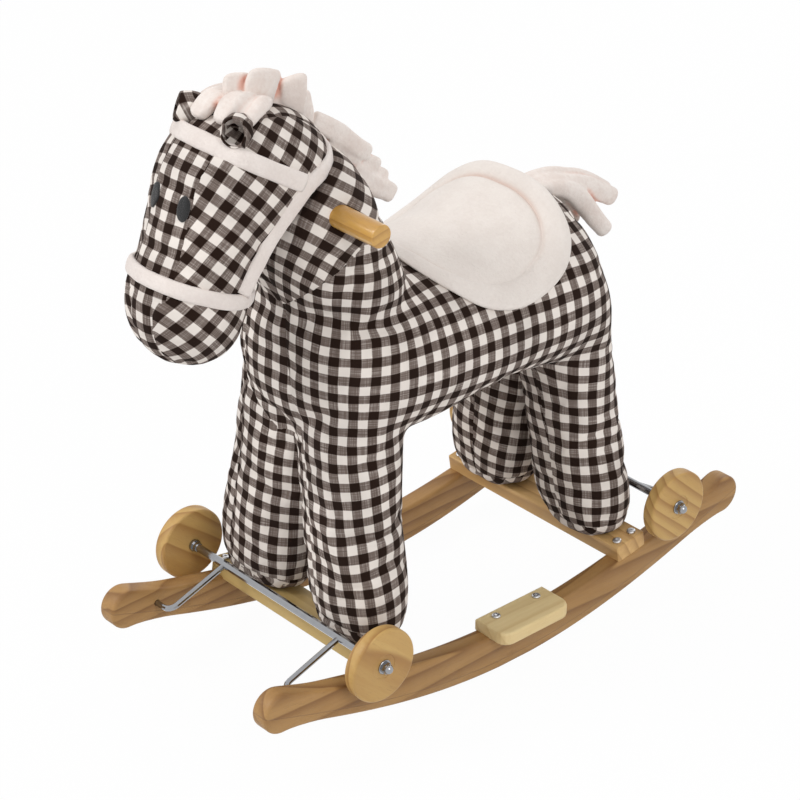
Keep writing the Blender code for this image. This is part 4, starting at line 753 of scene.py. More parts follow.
def makeScrew(name):
    # pan head with a hexagon recess, on the axis that its CAD solid has
    spots = np.array([vert.co for vert in nodes[name].data.vertices])
    middle = spots.mean(0)
    axis = Vector(np.linalg.svd(spots - middle)[2][0])
    if axis.z < 0:
        axis.negate()
    along = (spots - middle) @ np.array(axis)
    radius, height, shank, under = screw["headRadius"], screw["headHeight"], screw["shank"], screw["under"]
    top = Vector(middle) + axis * float(along.max())
    length = float(along.max() - along.min()) - height
    matrix = Matrix.Translation(top - axis * height) @ axis.to_track_quat("X", "Y").to_matrix().to_4x4()
    crown, flatTop, steps = screw["crown"], screw["flatTop"], screw["crownSteps"]
    profile = [(-length, 0.0), (-length + screw["point"], shank), (under, shank), (under, radius),
               (height * crown, radius)]
    profile += [(height * (crown + (1 - crown) * math.sin(quarter * k / steps)),
                 radius * (flatTop + (1 - flatTop) * math.cos(quarter * k / steps)))
                for k in range(1, steps + 1)]
    bm = bmesh.new()
    spinSolid(bm, profile, screw["segments"], Matrix())
    top = bmesh.ops.edgeloop_fill(bm, edges=[edge for edge in bm.edges if edge.is_boundary])["faces"]
    bmesh.ops.inset_region(bm, faces=top, thickness=radius * flatTop - screw["recessRadius"],
                           use_even_offset=True)
    for vert in top[0].verts:
        toHexagon(vert, screw["recessRadius"])
    grown = bmesh.ops.extrude_discrete_faces(bm, faces=top[:1])["faces"]
    bmesh.ops.translate(bm, verts=grown[0].verts[:], vec=(-screw["recess"], 0, 0))
    bmesh.ops.transform(bm, matrix=matrix, verts=bm.verts)
    piece = addPiece(name + "_hexRecess", toMesh(bm, name + "Fine", 35), zincSteel)
    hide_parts(name)


for group in ("front_board_screw", "rear_board_screw", "foot_rest_screw"):
    for number in range(1, 5):
        makeScrew(f"{group}_{number}")

nut = {"flange": 0.0072, "flangeThickness": 0.0012, "flangeEdge": 0.0003, "flats": 0.0100,
       "hexHeight": 0.0042, "height": 0.0090, "bore": 0.0043, "boreDepth": 0.0068,
       "domeInset": 0.0002, "domeSteps": 8, "segments": 48}


def makeDomeNut(end, side):
    # flange, hexagon with its corners turned round, and a dome over a blind bore
    name = f"{end}_dome_nut_{side}"
    low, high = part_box(name)
    start = low.x if side == "left" else -high.x
    centre = (low + high) / 2
    flange, hexTop = start + nut["flangeThickness"], start + nut["flangeThickness"] + nut["hexHeight"]
    dome, corner = nut["flats"] / 2 - nut["domeInset"], nut["flats"] / math.sqrt(3)
    tall, rim, edge, steps = (nut["height"] - nut["hexHeight"], nut["flange"], nut["flangeEdge"],
                              nut["domeSteps"])
    profile = [(start + nut["boreDepth"], 0.0), (start + nut["boreDepth"], nut["bore"]), (start, nut["bore"]),
               (start, rim), (flange - edge, rim), (flange, rim - edge), (flange, corner), (hexTop, corner)]
    profile += [(hexTop + tall * math.sin(quarter * k / steps), dome * math.cos(quarter * k / steps))
                for k in range(steps + 1)]
    bm = bmesh.new()
    spinSolid(bm, profile, nut["segments"], Matrix())
    for vert in bm.verts:
        if abs(math.hypot(vert.co.y, vert.co.z) - corner) < 0.00001:
            toHexagon(vert, corner)
    bmesh.ops.translate(bm, verts=bm.verts, vec=(0, centre.y, centre.z))
    mirrorRight(bm, side)
    piece = addPiece(f"{end}CapNut_{side}", toMesh(bm, name + "Fine", 35), chromedSteel,
                     f"{end}_wheel_set")
    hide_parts(name)


for end, side in corners:
    makeDomeNut(end, side)
print("wood and metal")


# Stuffed cloth: a voxel skin, cut into panels along its seams, blown up by a cloth simulation

sewing = {
    "frames": 20,
    "sink": 0.0014,                 # how deep a seam lies
    "besideSeam": 0.25,             # and what share of it the cloth beside the seam follows
    "shrinkFirst": 0.0004,          # the skin starts this far inside
    "cutMerge": 0.0006,             # a cut this near to a point goes through it
    "cloth": {"quality": 5, "mass": 0.25, "tension_stiffness": 12.0, "compression_stiffness": 12.0,
              "shear_stiffness": 6.0, "bending_stiffness": 0.35, "use_pressure": True},
}


def smoothVerts(bm, verts, passes):
    for _ in range(passes):
        bmesh.ops.smooth_vert(bm, verts=verts, factor=0.5, use_axis_x=True, use_axis_y=True, use_axis_z=True)


def voxelSkin(bm, voxel, smoothing, name):
    raw = bpy.data.meshes.new(name)
    bm.to_mesh(raw)
    bm.free()
    mesh = throughModifier(raw, name, "REMESH", mode="VOXEL", voxel_size=voxel, adaptivity=0.0)
    bm = bmesh.new()
    bm.from_mesh(mesh)
    bpy.data.meshes.remove(mesh)
    smoothVerts(bm, bm.verts, smoothing)
    return bm


def shrinkSkin(bm, filling=()):
    # a little inwards, and then where the filling is fuller or slacker
    bm.normal_update()
    for vert, normal in [(vert, vert.normal.copy()) for vert in bm.verts]:
        vert.co -= normal * sewing["shrinkFirst"]
        for centre, radius, move in filling:
            vert.co += Vector(move) * math.exp(-((vert.co - at(*centre)).length / radius) ** 2)


def cutPlane(bm, point, normal, wanted=None):
    faces = [face for face in bm.faces if wanted is None or wanted(face.calc_center_median())]
    geom = set(faces)
    for face in faces:
        geom.update(face.edges)
        geom.update(face.verts)
    bmesh.ops.bisect_plane(bm, geom=list(geom), dist=sewing["cutMerge"], plane_co=point,
                           plane_no=Vector(normal).normalized())


def markPanels(bm, panelOf):
    layer = bm.faces.layers.int.new("panel")
    for face in bm.faces:
        face[layer] = panelOf(face.calc_center_median(), face.normal)
    for edge in bm.edges:
        edge.seam = len({face[layer] for face in edge.link_faces}) > 1
        edge.smooth = True
    bm.verts.index_update()


def onSeam(vert):
    return any(edge.seam for edge in vert.link_edges)


def inflate(bm, name, part, pinned):
    # the stuffing presses the panels out, their seams hold them
    before = [vert.co.copy() for vert in bm.verts]
    mesh = bpy.data.meshes.new(name)
    bm.to_mesh(mesh)
    helper = addObject(name, mesh)
    helper.vertex_groups.new(name="seams").add(pinned, 1.0, "REPLACE")
    modifier = helper.modifiers.new("cloth", "CLOTH")
    cloth = modifier.settings
    for key, value in sewing["cloth"].items():
        setattr(cloth, key, value)
    cloth.uniform_pressure_force = part["pressure"]
    cloth.shrink_min = part["slack"]
    cloth.vertex_group_mass = "seams"
    cloth.effector_weights.gravity = 0.0
    modifier.point_cache.frame_start = 1
    modifier.point_cache.frame_end = sewing["frames"]
    for frameNumber in range(1, sewing["frames"] + 1):
        bpy.context.scene.frame_set(frameNumber)
    blown = bakedMesh(helper)
    for vert, start, end in zip(bm.verts, before, blown.vertices):
        move = end.co - start
        if move.length > part["cap"]:
            move *= part["cap"] / move.length
        vert.co = start + move
    bpy.data.objects.remove(helper)
    bpy.data.meshes.remove(mesh)
    bpy.data.meshes.remove(blown)
    bpy.context.scene.frame_set(1)


def sinkSeams(bm, depth):
    bm.normal_update()
    moves = {vert: 1.0 for vert in bm.verts if onSeam(vert)}
    for vert in list(moves):
        for edge in vert.link_edges:
            moves.setdefault(edge.other_vert(vert), sewing["besideSeam"])
    for vert, share in moves.items():
        vert.co -= vert.normal * depth * share


def readArray(items, name, kind, width=1):
    values = np.zeros(len(items) * width, kind)
    items.foreach_get(name, values)
    return values.reshape(-1, width) if width > 1 else values


def unitRows(vectors):
    return vectors / np.maximum(np.linalg.norm(vectors, axis=1, keepdims=True), 1e-9)


def easeRows(values, low, high):
    t = np.clip((values - low) / (high - low), 0.0, 1.0)
    return (t * t * (3 - 2 * t))[:, None]


def layCloth(piece, grainOf, passes=500):
    # the flat map of each panel whose threads lie as close to the wanted grain as its shape lets them
    mesh = piece.data
    mesh.calc_loop_triangles()
    spots = readArray(mesh.vertices, "co", float, 3)
    loops = readArray(mesh.loops, "vertex_index", int)
    triangles = readArray(mesh.loop_triangles, "loops", int, 3)
    panels = np.array([item.value for item in mesh.attributes["panel"].data])
    panels = panels[readArray(mesh.loop_triangles, "polygon_index", int)]
    _, unknown = np.unique(panels[:, None] * len(spots) + loops[triangles], return_inverse=True)
    unknown = unknown.reshape(-1, 3)
    count = unknown.max() + 1
    places = spots[loops[triangles]]
    normals = np.cross(places[:, 1] - places[:, 0], places[:, 2] - places[:, 0])
    doubled = np.maximum(np.linalg.norm(normals, axis=1), 1e-12)
    normals /= doubled[:, None]
    opposite = np.roll(places, -2, axis=1) - np.roll(places, -1, axis=1)
    slopes = np.cross(normals[:, None, :], opposite) / doubled[:, None, None]
    weights = doubled[:, None] / 2
    along = grainOf(panels, places.mean(1), normals)
    along = unitRows(along - normals * (along * normals).sum(1, keepdims=True))

    def gather(values):
        return np.bincount(unknown.ravel(), weights=values.ravel(), minlength=count)

    def flow(field):
        return gather(weights * np.einsum("tki,ti->tk", slopes, field))

    stiffness = np.maximum(gather(weights * (slopes ** 2).sum(2)), 1e-12)
    flat = np.zeros((len(loops), 2))
    for column, field in enumerate((np.cross(along, normals), along)):
        # conjugate gradients
        solved = np.zeros(count)
        rest = flow(field)
        eased = rest / stiffness
        step, power = eased.copy(), rest @ eased
        for _ in range(passes):
            pushed = flow((step[unknown][:, :, None] * slopes).sum(1))
            share = power / max(step @ pushed, 1e-30)
            solved += share * step
            rest -= share * pushed
            eased = rest / stiffness
            fresh = rest @ eased
            step = eased + step * (fresh / max(power, 1e-30))
            power = fresh
        flat[triangles.ravel(), column] = solved[unknown.ravel()]
    mesh.uv_layers.new(name="cloth").uv.foreach_set("vector", flat.ravel())


# Torso, neck and legs in one skin

body = {
    "voxel": 0.005,
    "smoothing": 9, "flankSmoothing": 24,
    "flank": (0.068, 0.108, 0.19, 0.37),   # from x and y on, and from z to z
    "pressure": 3.2, "cap": 0.006,
    "slack": -0.022,                # cloth cut a little larger than the stuffing
    "legX": 0.0665, "legZ": 0.070, "splay": 0.12,
    "frontRake": -0.08, "rearRake": 0.08, "wallRake": 0.10,   # the stripes' lean to the tail as they climb
    "neckGrain": (0.0, 0.66, 0.75),
    "nearSeam": -0.018, "farSeam": -0.022,   # sideways places of the legs' front seams
    "frontY": -0.150, "rearY": 0.100,
    "shoulder": (0.5262, 0.6546, 0.7175),    # the seam at the neck: z = a + b y + c |x|
    "neckFoot": 0.38, "chestTop": 0.43, "bellyTop": 0.30, "chestY": -0.13,
    "apronY": -0.12, "apronZ": 0.268, "apronSlope": -0.834, "apronX": -0.015,
    "soleHeight": 0.019, "soleSlope": math.tan(math.radians(9.0)), "soleReach": 0.09,
    "handleY": -0.176, "handleZ": 0.5175, "handleHold": 0.013,
    "plug": {"radius1": 0.0145, "radius2": 0.0145, "depth": 0.128},   # the cloth around the handle
    "filling": [                     # where the filling is fuller or slacker: centre, radius, move
        ((-0.115, -0.165, 0.14), 0.080, (-0.0080, -0.0015, 0.0)),
        ((0.095, -0.115, 0.20), 0.060, (-0.0020, -0.0045, 0.0)),
        ((0.060, -0.075, 0.29), 0.060, (0.0, 0.0, -0.0060)),
        ((0.030, 0.210, 0.335), 0.060, (0.0, -0.0110, -0.0020)),
        ((0.050, 0.230, 0.240), 0.070, (0.0, 0.0045, 0.0)),
        ((-0.020, -0.215, 0.300), 0.060, (-0.0020, -0.0020, 0.0)),
        ((0.070, -0.176, 0.5175), 0.034, (0.0080, 0.0, 0.0)),
        ((-0.070, -0.176, 0.5175), 0.034, (-0.0080, 0.0, 0.0))],
}


def legSeam(side):
    # plane down the front and back of the legs on one side: a point and its normal
    shift, sign = (body["nearSeam"], 1) if side == "left" else (body["farSeam"], -1)
    point = at(sign * body["legX"] + shift, body["frontY"], body["legZ"])
    return point, Vector((1.0, shift / (body["rearY"] - body["frontY"]), sign * body["splay"])).normalized()


def makeBody():
    bm = copyNodes("torso", "neck", *[f"leg_{end}_{side}" for end, side in corners],
                   *[f"leg_post_{end}_{side}" for end, side in corners], "body_board", "neck_board")
    place = Matrix.Translation(at(0, body["handleY"], body["handleZ"])) @ Matrix.Rotation(quarter, 4, "Y")
    bmesh.ops.create_cone(bm, cap_ends=True, segments=24, matrix=place, **body["plug"])
    bm = voxelSkin(bm, body["voxel"], body["smoothing"], "bodySkin")
    # the outer panels run straight from the flanks down the legs
    x, y, low, high = body["flank"]
    smoothVerts(bm, [vert for vert in bm.verts if abs(vert.co.x) > x and low < vert.co.z < high
                     and abs(vert.co.y - middleY) > y], body["flankSmoothing"])
    shrinkSkin(bm, body["filling"])
    a, b, c = body["shoulder"]
    foot, chest, belly, chestY = body["neckFoot"], body["chestTop"], body["bellyTop"], body["chestY"]
    apronX, apronZ, apronSlope = body["apronX"], body["apronZ"], body["apronSlope"]
    cutPlane(bm, (0, 0, 0), (1, 0, 0))
    for side, sign in (("left", 1), ("right", -1)):
        cutPlane(bm, at(0, 0, a), (-c * sign, -b, 1),
                 lambda place: place.x * sign > -0.001 and place.z > foot)
        cutPlane(bm, *legSeam(side), lambda place: place.x * sign > -0.03 and (
            place.z < belly or (place.y - middleY < chestY and place.z < chest)))
    cutPlane(bm, at(0, 0, apronZ), (0, 0, 1), lambda place: (
        apronX < place.x < 0.05 and place.z < belly and place.y - middleY < body["apronY"]))
    cutPlane(bm, at(apronX, 0, apronZ), (-apronSlope, 0, 1), lambda place: (
        -0.09 < place.x < apronX and place.z < 0.36 and place.y - middleY < body["apronY"]))
    soles = []
    for end, side in corners:
        low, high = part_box(f"leg_{end}_{side}")
        middle = (low + high) / 2
        point = Vector((middle.x, middle.y, low.z + body["soleHeight"]))
        up = Vector((0, body["soleSlope"] * (1 if end == "front" else -1), 1))
        soles.append((point, up))
        cutPlane(bm, point, up,
                 lambda place: (place - point).length < body["soleReach"] and place.z < low.z + 0.05)

    def panelOf(place, normal):
        for number, (point, up) in enumerate(soles):
            if (place - point).length < body["soleReach"] and (place - point).dot(up) < 0:
                return 20 + number
        y, near = place.y - middleY, place.x > 0
        if place.z > foot and place.z > a + b * y + c * abs(place.x):
            return 1 if near else 2
        (leftPoint, leftNormal), (rightPoint, rightNormal) = legSeam("left"), legSeam("right")
        between = (place - leftPoint).dot(leftNormal) < 0 and (place - rightPoint).dot(rightNormal) > 0
        if place.z < chest and between and (place.z < belly or y < chestY):
            apron = apronZ + min(place.x - apronX, 0.0) * apronSlope
            if y < body["apronY"] and place.z > apron and normal.y < 0.3:
                return 3
            if place.z < belly:
                return 4 if near else 5
        return 6 if near else 7

    def held(vert):
        y, z = vert.co.y - middleY - body["handleY"], vert.co.z - body["handleZ"]
        return onSeam(vert) or math.hypot(y, z) < body["handleHold"]

    markPanels(bm, panelOf)
    inflate(bm, "bodyCloth", body, [vert.index for vert in bm.verts if held(vert)])
    sinkSeams(bm, sewing["sink"])
    piece = addPiece("stuffedBody", toMesh(bm, "stuffedBody", recalc=False), checkedCotton)
    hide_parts("torso", "neck", "leg_front_left", "leg_front_right",
                "leg_rear_left", "leg_rear_right")

    def grainOf(panels, places, normals):
        # up the walls and over the back, along each leg, and from throat to crest on the neck
        sign = np.where(places[:, :1] > 0, 1.0, -1.0)
        rake = np.where(places[:, 1:2] < middleY, body["frontRake"], body["rearRake"])
        level = unitRows(np.cross((0.0, 0.0, 1.0), normals))
        flatness = easeRows(np.abs(normals[:, 2]), 0.5, 0.85)
        level = level * (1 - flatness) + np.array([0.0, 1.0, 0.0]) * sign * flatness
        up = np.cross(normals, unitRows(level)) + np.array([0.0, body["wallRake"], 0.0]) * (1 - flatness)
        axis = np.hstack([-sign * body["splay"], rake, np.ones_like(sign)])
        panels = panels[:, None]
        inner = np.where((panels == 4) | (panels == 5), 1.0, 0.0)
        onLeg = np.maximum(1 - easeRows(places[:, 2], 0.24, 0.32), inner)
        axis[:, :1] -= sign * flatness * inner
        up = up * (1 - onLeg) + axis * onLeg
        up = np.where(panels < 3, np.array(body["neckGrain"]), up)
        return np.where(panels >= 20, np.array([0.0, 1.0, 0.0]), up)

    layCloth(piece, grainOf)
    addSubdivision(piece)
    return piece


bodyPiece = makeBody()
bodyTree = treeOf(bodyPiece)
print("body, neck and legs", len(bodyPiece.data.vertices))


# Head

head = {
    "voxel": 0.0042, "smoothing": 7,
    "pressure": 3.0, "cap": 0.005, "slack": -0.02,
    "seamShare": 0.7,               # its seams lie less deep than the body's
    "gussetX": 0.0262, "muzzleX": 0.0148, "muzzleZ": 0.466,
    "backY": -0.205, "topZ": 0.55, "chinY": -0.30, "chinZ": 0.45,
    "sideGrain": (0.0, 0.74, 0.67),
}


def makeHead():
    bm = voxelSkin(copyNodes("head"), head["voxel"], head["smoothing"], "headSkin")
    shrinkSkin(bm)
    muzzle = head["muzzleZ"]
    cutPlane(bm, (0, 0, muzzle), (0, 0, 1), lambda place: abs(place.x) < 0.034 and place.y - middleY < -0.31)
    for sign in (1, -1):
        cutPlane(bm, (sign * head["gussetX"], 0, 0), (1, 0, 0),
                 lambda place: place.x * sign > 0 and place.z > muzzle)
        cutPlane(bm, (sign * head["muzzleX"], 0, 0), (1, 0, 0),
                 lambda place: place.x * sign > 0 and place.z < muzzle)
    cutPlane(bm, at(0, head["backY"], 0), (0, 1, 0),
             lambda place: abs(place.x) < 0.03 and place.z > head["topZ"])
    cutPlane(bm, at(0, head["chinY"], 0), (0, 1, 0),
             lambda place: abs(place.x) < 0.03 and place.z < head["chinZ"])

    def panelOf(place, normal):
        if abs(place.x) < (head["gussetX"] if place.z > muzzle else head["muzzleX"]):
            return 1 if place.y - middleY < (head["backY"] if place.z > head["topZ"]
                                             else head["chinY"]) else 2
        return 3 if place.x > 0 else 4

    markPanels(bm, panelOf)
    inflate(bm, "headCloth", head, [vert.index for vert in bm.verts if onSeam(vert)])
    sinkSeams(bm, sewing["sink"] * head["seamShare"])
    piece = addPiece("stuffedHead", toMesh(bm, "stuffedHead", recalc=False), checkedCotton)
    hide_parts("head")

    def grainOf(panels, places, normals):
        # straight on the face, on the bias at both sides
        return np.where(panels[:, None] < 3, np.cross(normals, (1.0, 0.0, 0.0)), np.array(head["sideGrain"]))

    layCloth(piece, grainOf)
    addSubdivision(piece)
    return piece


headPiece = makeHead()
headTree = treeOf(headPiece)
print("head", len(headPiece.data.vertices))


# Bridle straps of plush

strap = {
    "halfWidth": 0.0084, "noseHalfWidth": 0.0074, "halfThickness": 0.0036, "lift": 0.0012, "sides": 20,
    "squareness": 2.6,
    "noseY": -0.285, "noseZ": 0.4635, "noseSlope": -0.40, "noseSteps": 96,
    "crownY": -0.185, "crownZ": 0.565, "crownAt": -0.120, "crownSlope": 0.153,
    "crownFrom": -13, "crownTurn": 206, "crownSteps": 70,
    "cheekTopY": -0.2026, "cheekFoot": (-0.2704, 0.4649), "cheekLeastX": 0.052, "cheekSteps": 28,
    "browSlope": -0.62, "browSetback": 0.004, "browFrom": -1, "browTurn": -178, "browSteps": 72,
}
sideways = Vector((1, 0, 0))


def arc(start, turn, steps):
    return [math.radians(start + turn * i / steps) for i in range(steps + 1)]


def bandAround(trees, middle, slope, angles):
    route = []
    for angle in angles:
        direction = Vector((math.cos(angle), math.sin(angle), slope * math.sin(angle))).normalized()
        route.append((skinPoint(trees, middle, direction)[0] + direction * strap["lift"], direction))
    return route


def smoothRoute(route, passes, closed):
    for _ in range(passes):
        places, count = [place for place, _ in route], len(route)
        route = [(place, outwards) if not closed and i in (0, count - 1) else
                 ((places[i - 1] + place * 2 + places[(i + 1) % count]) / 4, outwards)
                 for i, (place, outwards) in enumerate(route)]
    return route


def makeStrap(name, route, node, halfWidth, closed=False):
    rings = []
    count, strapSides = len(route), strap["sides"]
    for i, (place, outwards) in enumerate(route):
        ahead = route[(i + 1) % count][0] if closed or i < count - 1 else place
        behind = route[i - 1][0] if closed or i > 0 else place
        along = (ahead - behind).normalized()
        outwards = (outwards - along * outwards.dot(along)).normalized()
        across = along.cross(outwards)
        ripple = 1.0 + 0.05 * noise.noise(place * 90.0)
        ring = []
        for angle in circle(strapSides):
            u, v = ovalPoint(angle, strap["squareness"])
            crown = 1.0 + 0.12 * noise.noise(place * 140.0 + Vector((u, v, 0)))
            ring.append(place + across * u * halfWidth * ripple
                        + outwards * v * strap["halfThickness"] * crown)
        rings.append(ring)
    if not closed:
        tips = []
        for inner in (rings[0], rings[-1]):
            middle = sum(inner, Vector()) / strapSides
            tips.append([[middle + (spot - middle) * share for spot in inner] for share in (0.55, 0.2)])
        rings = tips[0][::-1] + rings + tips[1]
    bm = bmesh.new()
    sweep(bm, rings, closed)
    piece = addPiece(name, toMesh(bm, name), strapPlush)
    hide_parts(node)


def crownHeight(y):
    return strap["crownZ"] + strap["crownSlope"] * (y - strap["crownAt"])


def crownRoute():
    top = (strap["cheekTopY"], crownHeight(strap["cheekTopY"]))
    foot, steps = strap["cheekFoot"], strap["cheekSteps"]
    cheek = []
    for i in range(steps):
        y, z = (foot[k] + (top[k] - foot[k]) * (i / steps) for k in (0, 1))
        place, _ = skinPoint([headTree], at(0, y, z), sideways)
        place.x = max(place.x, strap["cheekLeastX"]) + strap["lift"]
        cheek.append((place, sideways))
    over = bandAround([headTree, bodyTree], at(0, strap["crownY"], crownHeight(strap["crownY"])),
                      strap["crownSlope"], arc(strap["crownFrom"], strap["crownTurn"], strap["crownSteps"]))
    mirror = Matrix.Diagonal((-1, 1, 1))
    farCheek = [(mirror @ place, mirror @ outwards) for place, outwards in reversed(cheek)]
    return smoothRoute(cheek + over + farCheek, 6, False)


def makeStraps():
    nose = bandAround([headTree], at(0, strap["noseY"], strap["noseZ"]), strap["noseSlope"],
                      circle(strap["noseSteps"]))
    makeStrap("plushNoseband", smoothRoute(nose, 4, True), "noseband", strap["noseHalfWidth"], closed=True)
    makeStrap("plushCrownStrap", crownRoute(), "crown_strap", strap["halfWidth"])
    y = strap["cheekTopY"] - strap["browSetback"]
    z = crownHeight(strap["cheekTopY"]) + strap["browSlope"] * -strap["browSetback"]
    brow = bandAround([headTree], at(0, y, z), strap["browSlope"],
                      arc(strap["browFrom"], strap["browTurn"], strap["browSteps"]))
    makeStrap("plushBrowband", smoothRoute(brow, 4, False), "browband", strap["halfWidth"])


makeStraps()
print("bridle")


# Eyes of black felt

eye = {
    "halfWidth": 0.0066, "halfHeight": 0.0116, "x": 0.0200, "z": 0.5450, "sides": 48,
    "profile": [                     # share of the outline, height over the cloth
        (0.94, -0.0030), (1.0, 0.0002), (1.0, 0.0008), (0.95, 0.0013), (0.84, 0.0016), (0.5, 0.0018),
        (0.15, 0.0018)],
}


def makeEye(side):
    sign = 1 if side == "left" else -1
    place, _ = skinPoint([headTree], at(sign * eye["x"], -0.25, eye["z"]), Vector((0, -1, 0)))
    turn = nearestSkin(headTree, place)[1].to_track_quat("Z", "Y").to_matrix()
    rings = []
    for share, height in eye["profile"]:
        ring = []
        for angle in circle(eye["sides"]):
            flat = Vector((math.cos(angle) * eye["halfWidth"], math.sin(angle) * eye["halfHeight"], 0))
            skin, up = nearestSkin(headTree, place + turn @ flat * share)
            ring.append(skin + up * height)
        rings.append(ring)
    bm = bmesh.new()
    sweep(bm, rings)
    piece = addPiece(f"feltEye_{side}", toMesh(bm, f"feltEye_{side}"), blackFelt)
    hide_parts(f"eye_{side}")


for side in sides:
    makeEye(side)
print("eyes")


# Plush pads and folded strips know how deep each point lies in a fold, and their folds get painted shade from
# it

foldShadeRays = {"rays": 10, "tilt": 0.55, "lift": 0.0004, "gain": 3.2, "least": 0.10}


def paintFoldShade(mesh, reach, gain):
    # how closed in each point is: the share of short rays from it that meet the pile again, kept as painted
    # shade
    bm = bmesh.new()
    bm.from_mesh(mesh)
    bm.normal_update()
    tree = BVHTree.FromBMesh(bm)
    tilted = [Vector((math.cos(angle), math.sin(angle), foldShadeRays["tilt"])).normalized()
              for angle in circle(foldShadeRays["rays"])]
    depth = []
    for vert in bm.verts:
        turn = vert.normal.to_track_quat("Z", "X")
        start = vert.co + vert.normal * foldShadeRays["lift"]
        met = [tree.ray_cast(start, turn @ ray, reach)[3] for ray in tilted]
        depth.append(sum(1 - distance / reach for distance in met if distance is not None) / len(tilted))
    for _ in range(2):
        depth = [0.5 * depth[vert.index]
                 + 0.5 * sum(depth[edge.other_vert(vert).index] for edge in vert.link_edges)
                 / len(vert.link_edges) for vert in bm.verts]
    bm.free()
    # the plush materials paint shade into the folds by this value
    shades = [min(max(value * foldShadeRays["gain"] * gain - foldShadeRays["least"], 0.0), 1.0) for value in depth]
    mesh.attributes.new("paintedFoldShade", "FLOAT", "POINT").data.foreach_set("value", shades)


# Saddle: a padded cover with a rolled rim and a sewn oval

saddle = {
    "middleY": 0.0235, "sweep": 0.018, "halfLength": 0.0855, "reach": 0.1185, "squareness": 2.5,
    "sides": 160, "rowStep": 0.002, "clothReach": 0.16, "fan": math.radians(150), "fanSteps": 120,
    "ridge": 0.45,                   # height of the fan's middle in the torso
    "field": (0.38, 0.62), "rim": (0.72, 0.42),   # puff in the middle, and its growth to the tail
    "rimFrom": 0.74, "rimBlend": 0.05, "leastPuff": 0.15,
    "profile": [                     # share of the outline, height over the cloth
        (0.955, -0.0010), (0.985, 0.0012), (1.003, 0.0050), (1.004, 0.0086), (0.993, 0.0120), (0.968, 0.0141),
        (0.930, 0.0148), (0.888, 0.0144), (0.848, 0.0131), (0.815, 0.0112), (0.792, 0.0088), (0.777, 0.0066),
        (0.768, 0.0058), (0.760, 0.0064), (0.746, 0.0080), (0.715, 0.0092), (0.660, 0.0098), (0.560, 0.0100),
        (0.450, 0.0100), (0.330, 0.0100), (0.220, 0.0100), (0.120, 0.0100), (0.040, 0.0100)],
}


def clothAcross(y):
    # places down one side of the back, at even steps along the cloth from its ridge
    low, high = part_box("torso")
    centre = at(0, y, low.z + (high.z - low.z) * saddle["ridge"])
    dense = []
    for i in range(saddle["fanSteps"] + 1):
        angle = quarter - saddle["fan"] * i / saddle["fanSteps"]
        dense.append(skinPoint([bodyTree], centre, Vector((math.cos(angle), 0, math.sin(angle))))[0])
    step = saddle["rowStep"]
    places, left, previous = [dense[0]], step, dense[0]
    for place in dense[1:]:
        gap = (place - previous).length
        while gap >= left:
            previous = previous.lerp(place, left / gap)
            places.append(previous)
            gap = (place - previous).length
            left = step
            if len(places) * step > saddle["clothReach"]:
                return places
        left -= gap
        previous = place
    return places


def easeRing(vectors, passes):
    # the pad bridges the seams and creases under it
    for _ in range(passes):
        vectors = [(vectors[i - 1] + vector * 2 + vectors[(i + 1) % len(vectors)]) / 4
                   for i, vector in enumerate(vectors)]
    return vectors


def makeSaddle():
    rows, step = {}, saddle["rowStep"]

    def onCloth(y, along):
        key = round(y / step)
        spot = []
        for index in (key, key + 1):
            if index not in rows:
                rows[index] = clothAcross(index * step)
            row = rows[index]
            far = min(abs(along) / step, len(row) - 1.001)
            spot.append(row[int(far)].lerp(row[int(far) + 1], far - int(far)))
        place = spot[0].lerp(spot[1], y / step - key)
        return Vector((math.copysign(place.x, along), place.y, place.z))

    placed = []
    for share, height in saddle["profile"]:
        ring = []
        blend = min(max((share - saddle["rimFrom"]) / saddle["rimBlend"], 0.0), 1.0)
        for angle in circle(saddle["sides"]):
            u, v = ovalPoint(angle, saddle["squareness"])
            y = saddle["middleY"] + v * saddle["halfLength"] * share + saddle["sweep"] * (u * share) ** 2
            field, rim = (middle + more * v * share for middle, more in (saddle["field"], saddle["rim"]))
            raised = max(field * (1 - blend) + rim * blend, saddle["leastPuff"])
            ring.append((u * saddle["reach"] * share, y, height * raised))
        spots = [onCloth(y, along) for along, y, _ in ring]
        normals = easeRing([nearestSkin(bodyTree, spot)[1] for spot in spots], 40)
        placed.append([spot + normal.normalized()
                       * (height + 0.0006 * noise.noise(Vector((along, y, 0)) * 45.0))
                       for spot, normal, (along, y, height) in zip(easeRing(spots, 8), normals, ring)])
    bm = bmesh.new()
    sweep(bm, placed)
    mesh = toMesh(bm, "plushSaddle")
    paintFoldShade(mesh, 0.006, 1.2)
    piece = addPiece("plushSaddle", mesh, saddlePlush)
    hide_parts("saddle_pad")
    addSubdivision(piece)


makeSaddle()
print("saddle")


# Folded plush: strips swept along their routes and grown together where they are sewn

fold = {
    "voxel": 0.0015, "smoothing": 3, "sides": 36, "steps": 26, "squareness": 2.5, "cleftWidth": 0.25,
    "lump": 0.10, "lumpScale": 45.0,
    "tip": [(0.92, 0.43), (0.74, 0.74), (0.45, 0.94), (0.15, 1.0)],   # share of the last ring, how far on
}


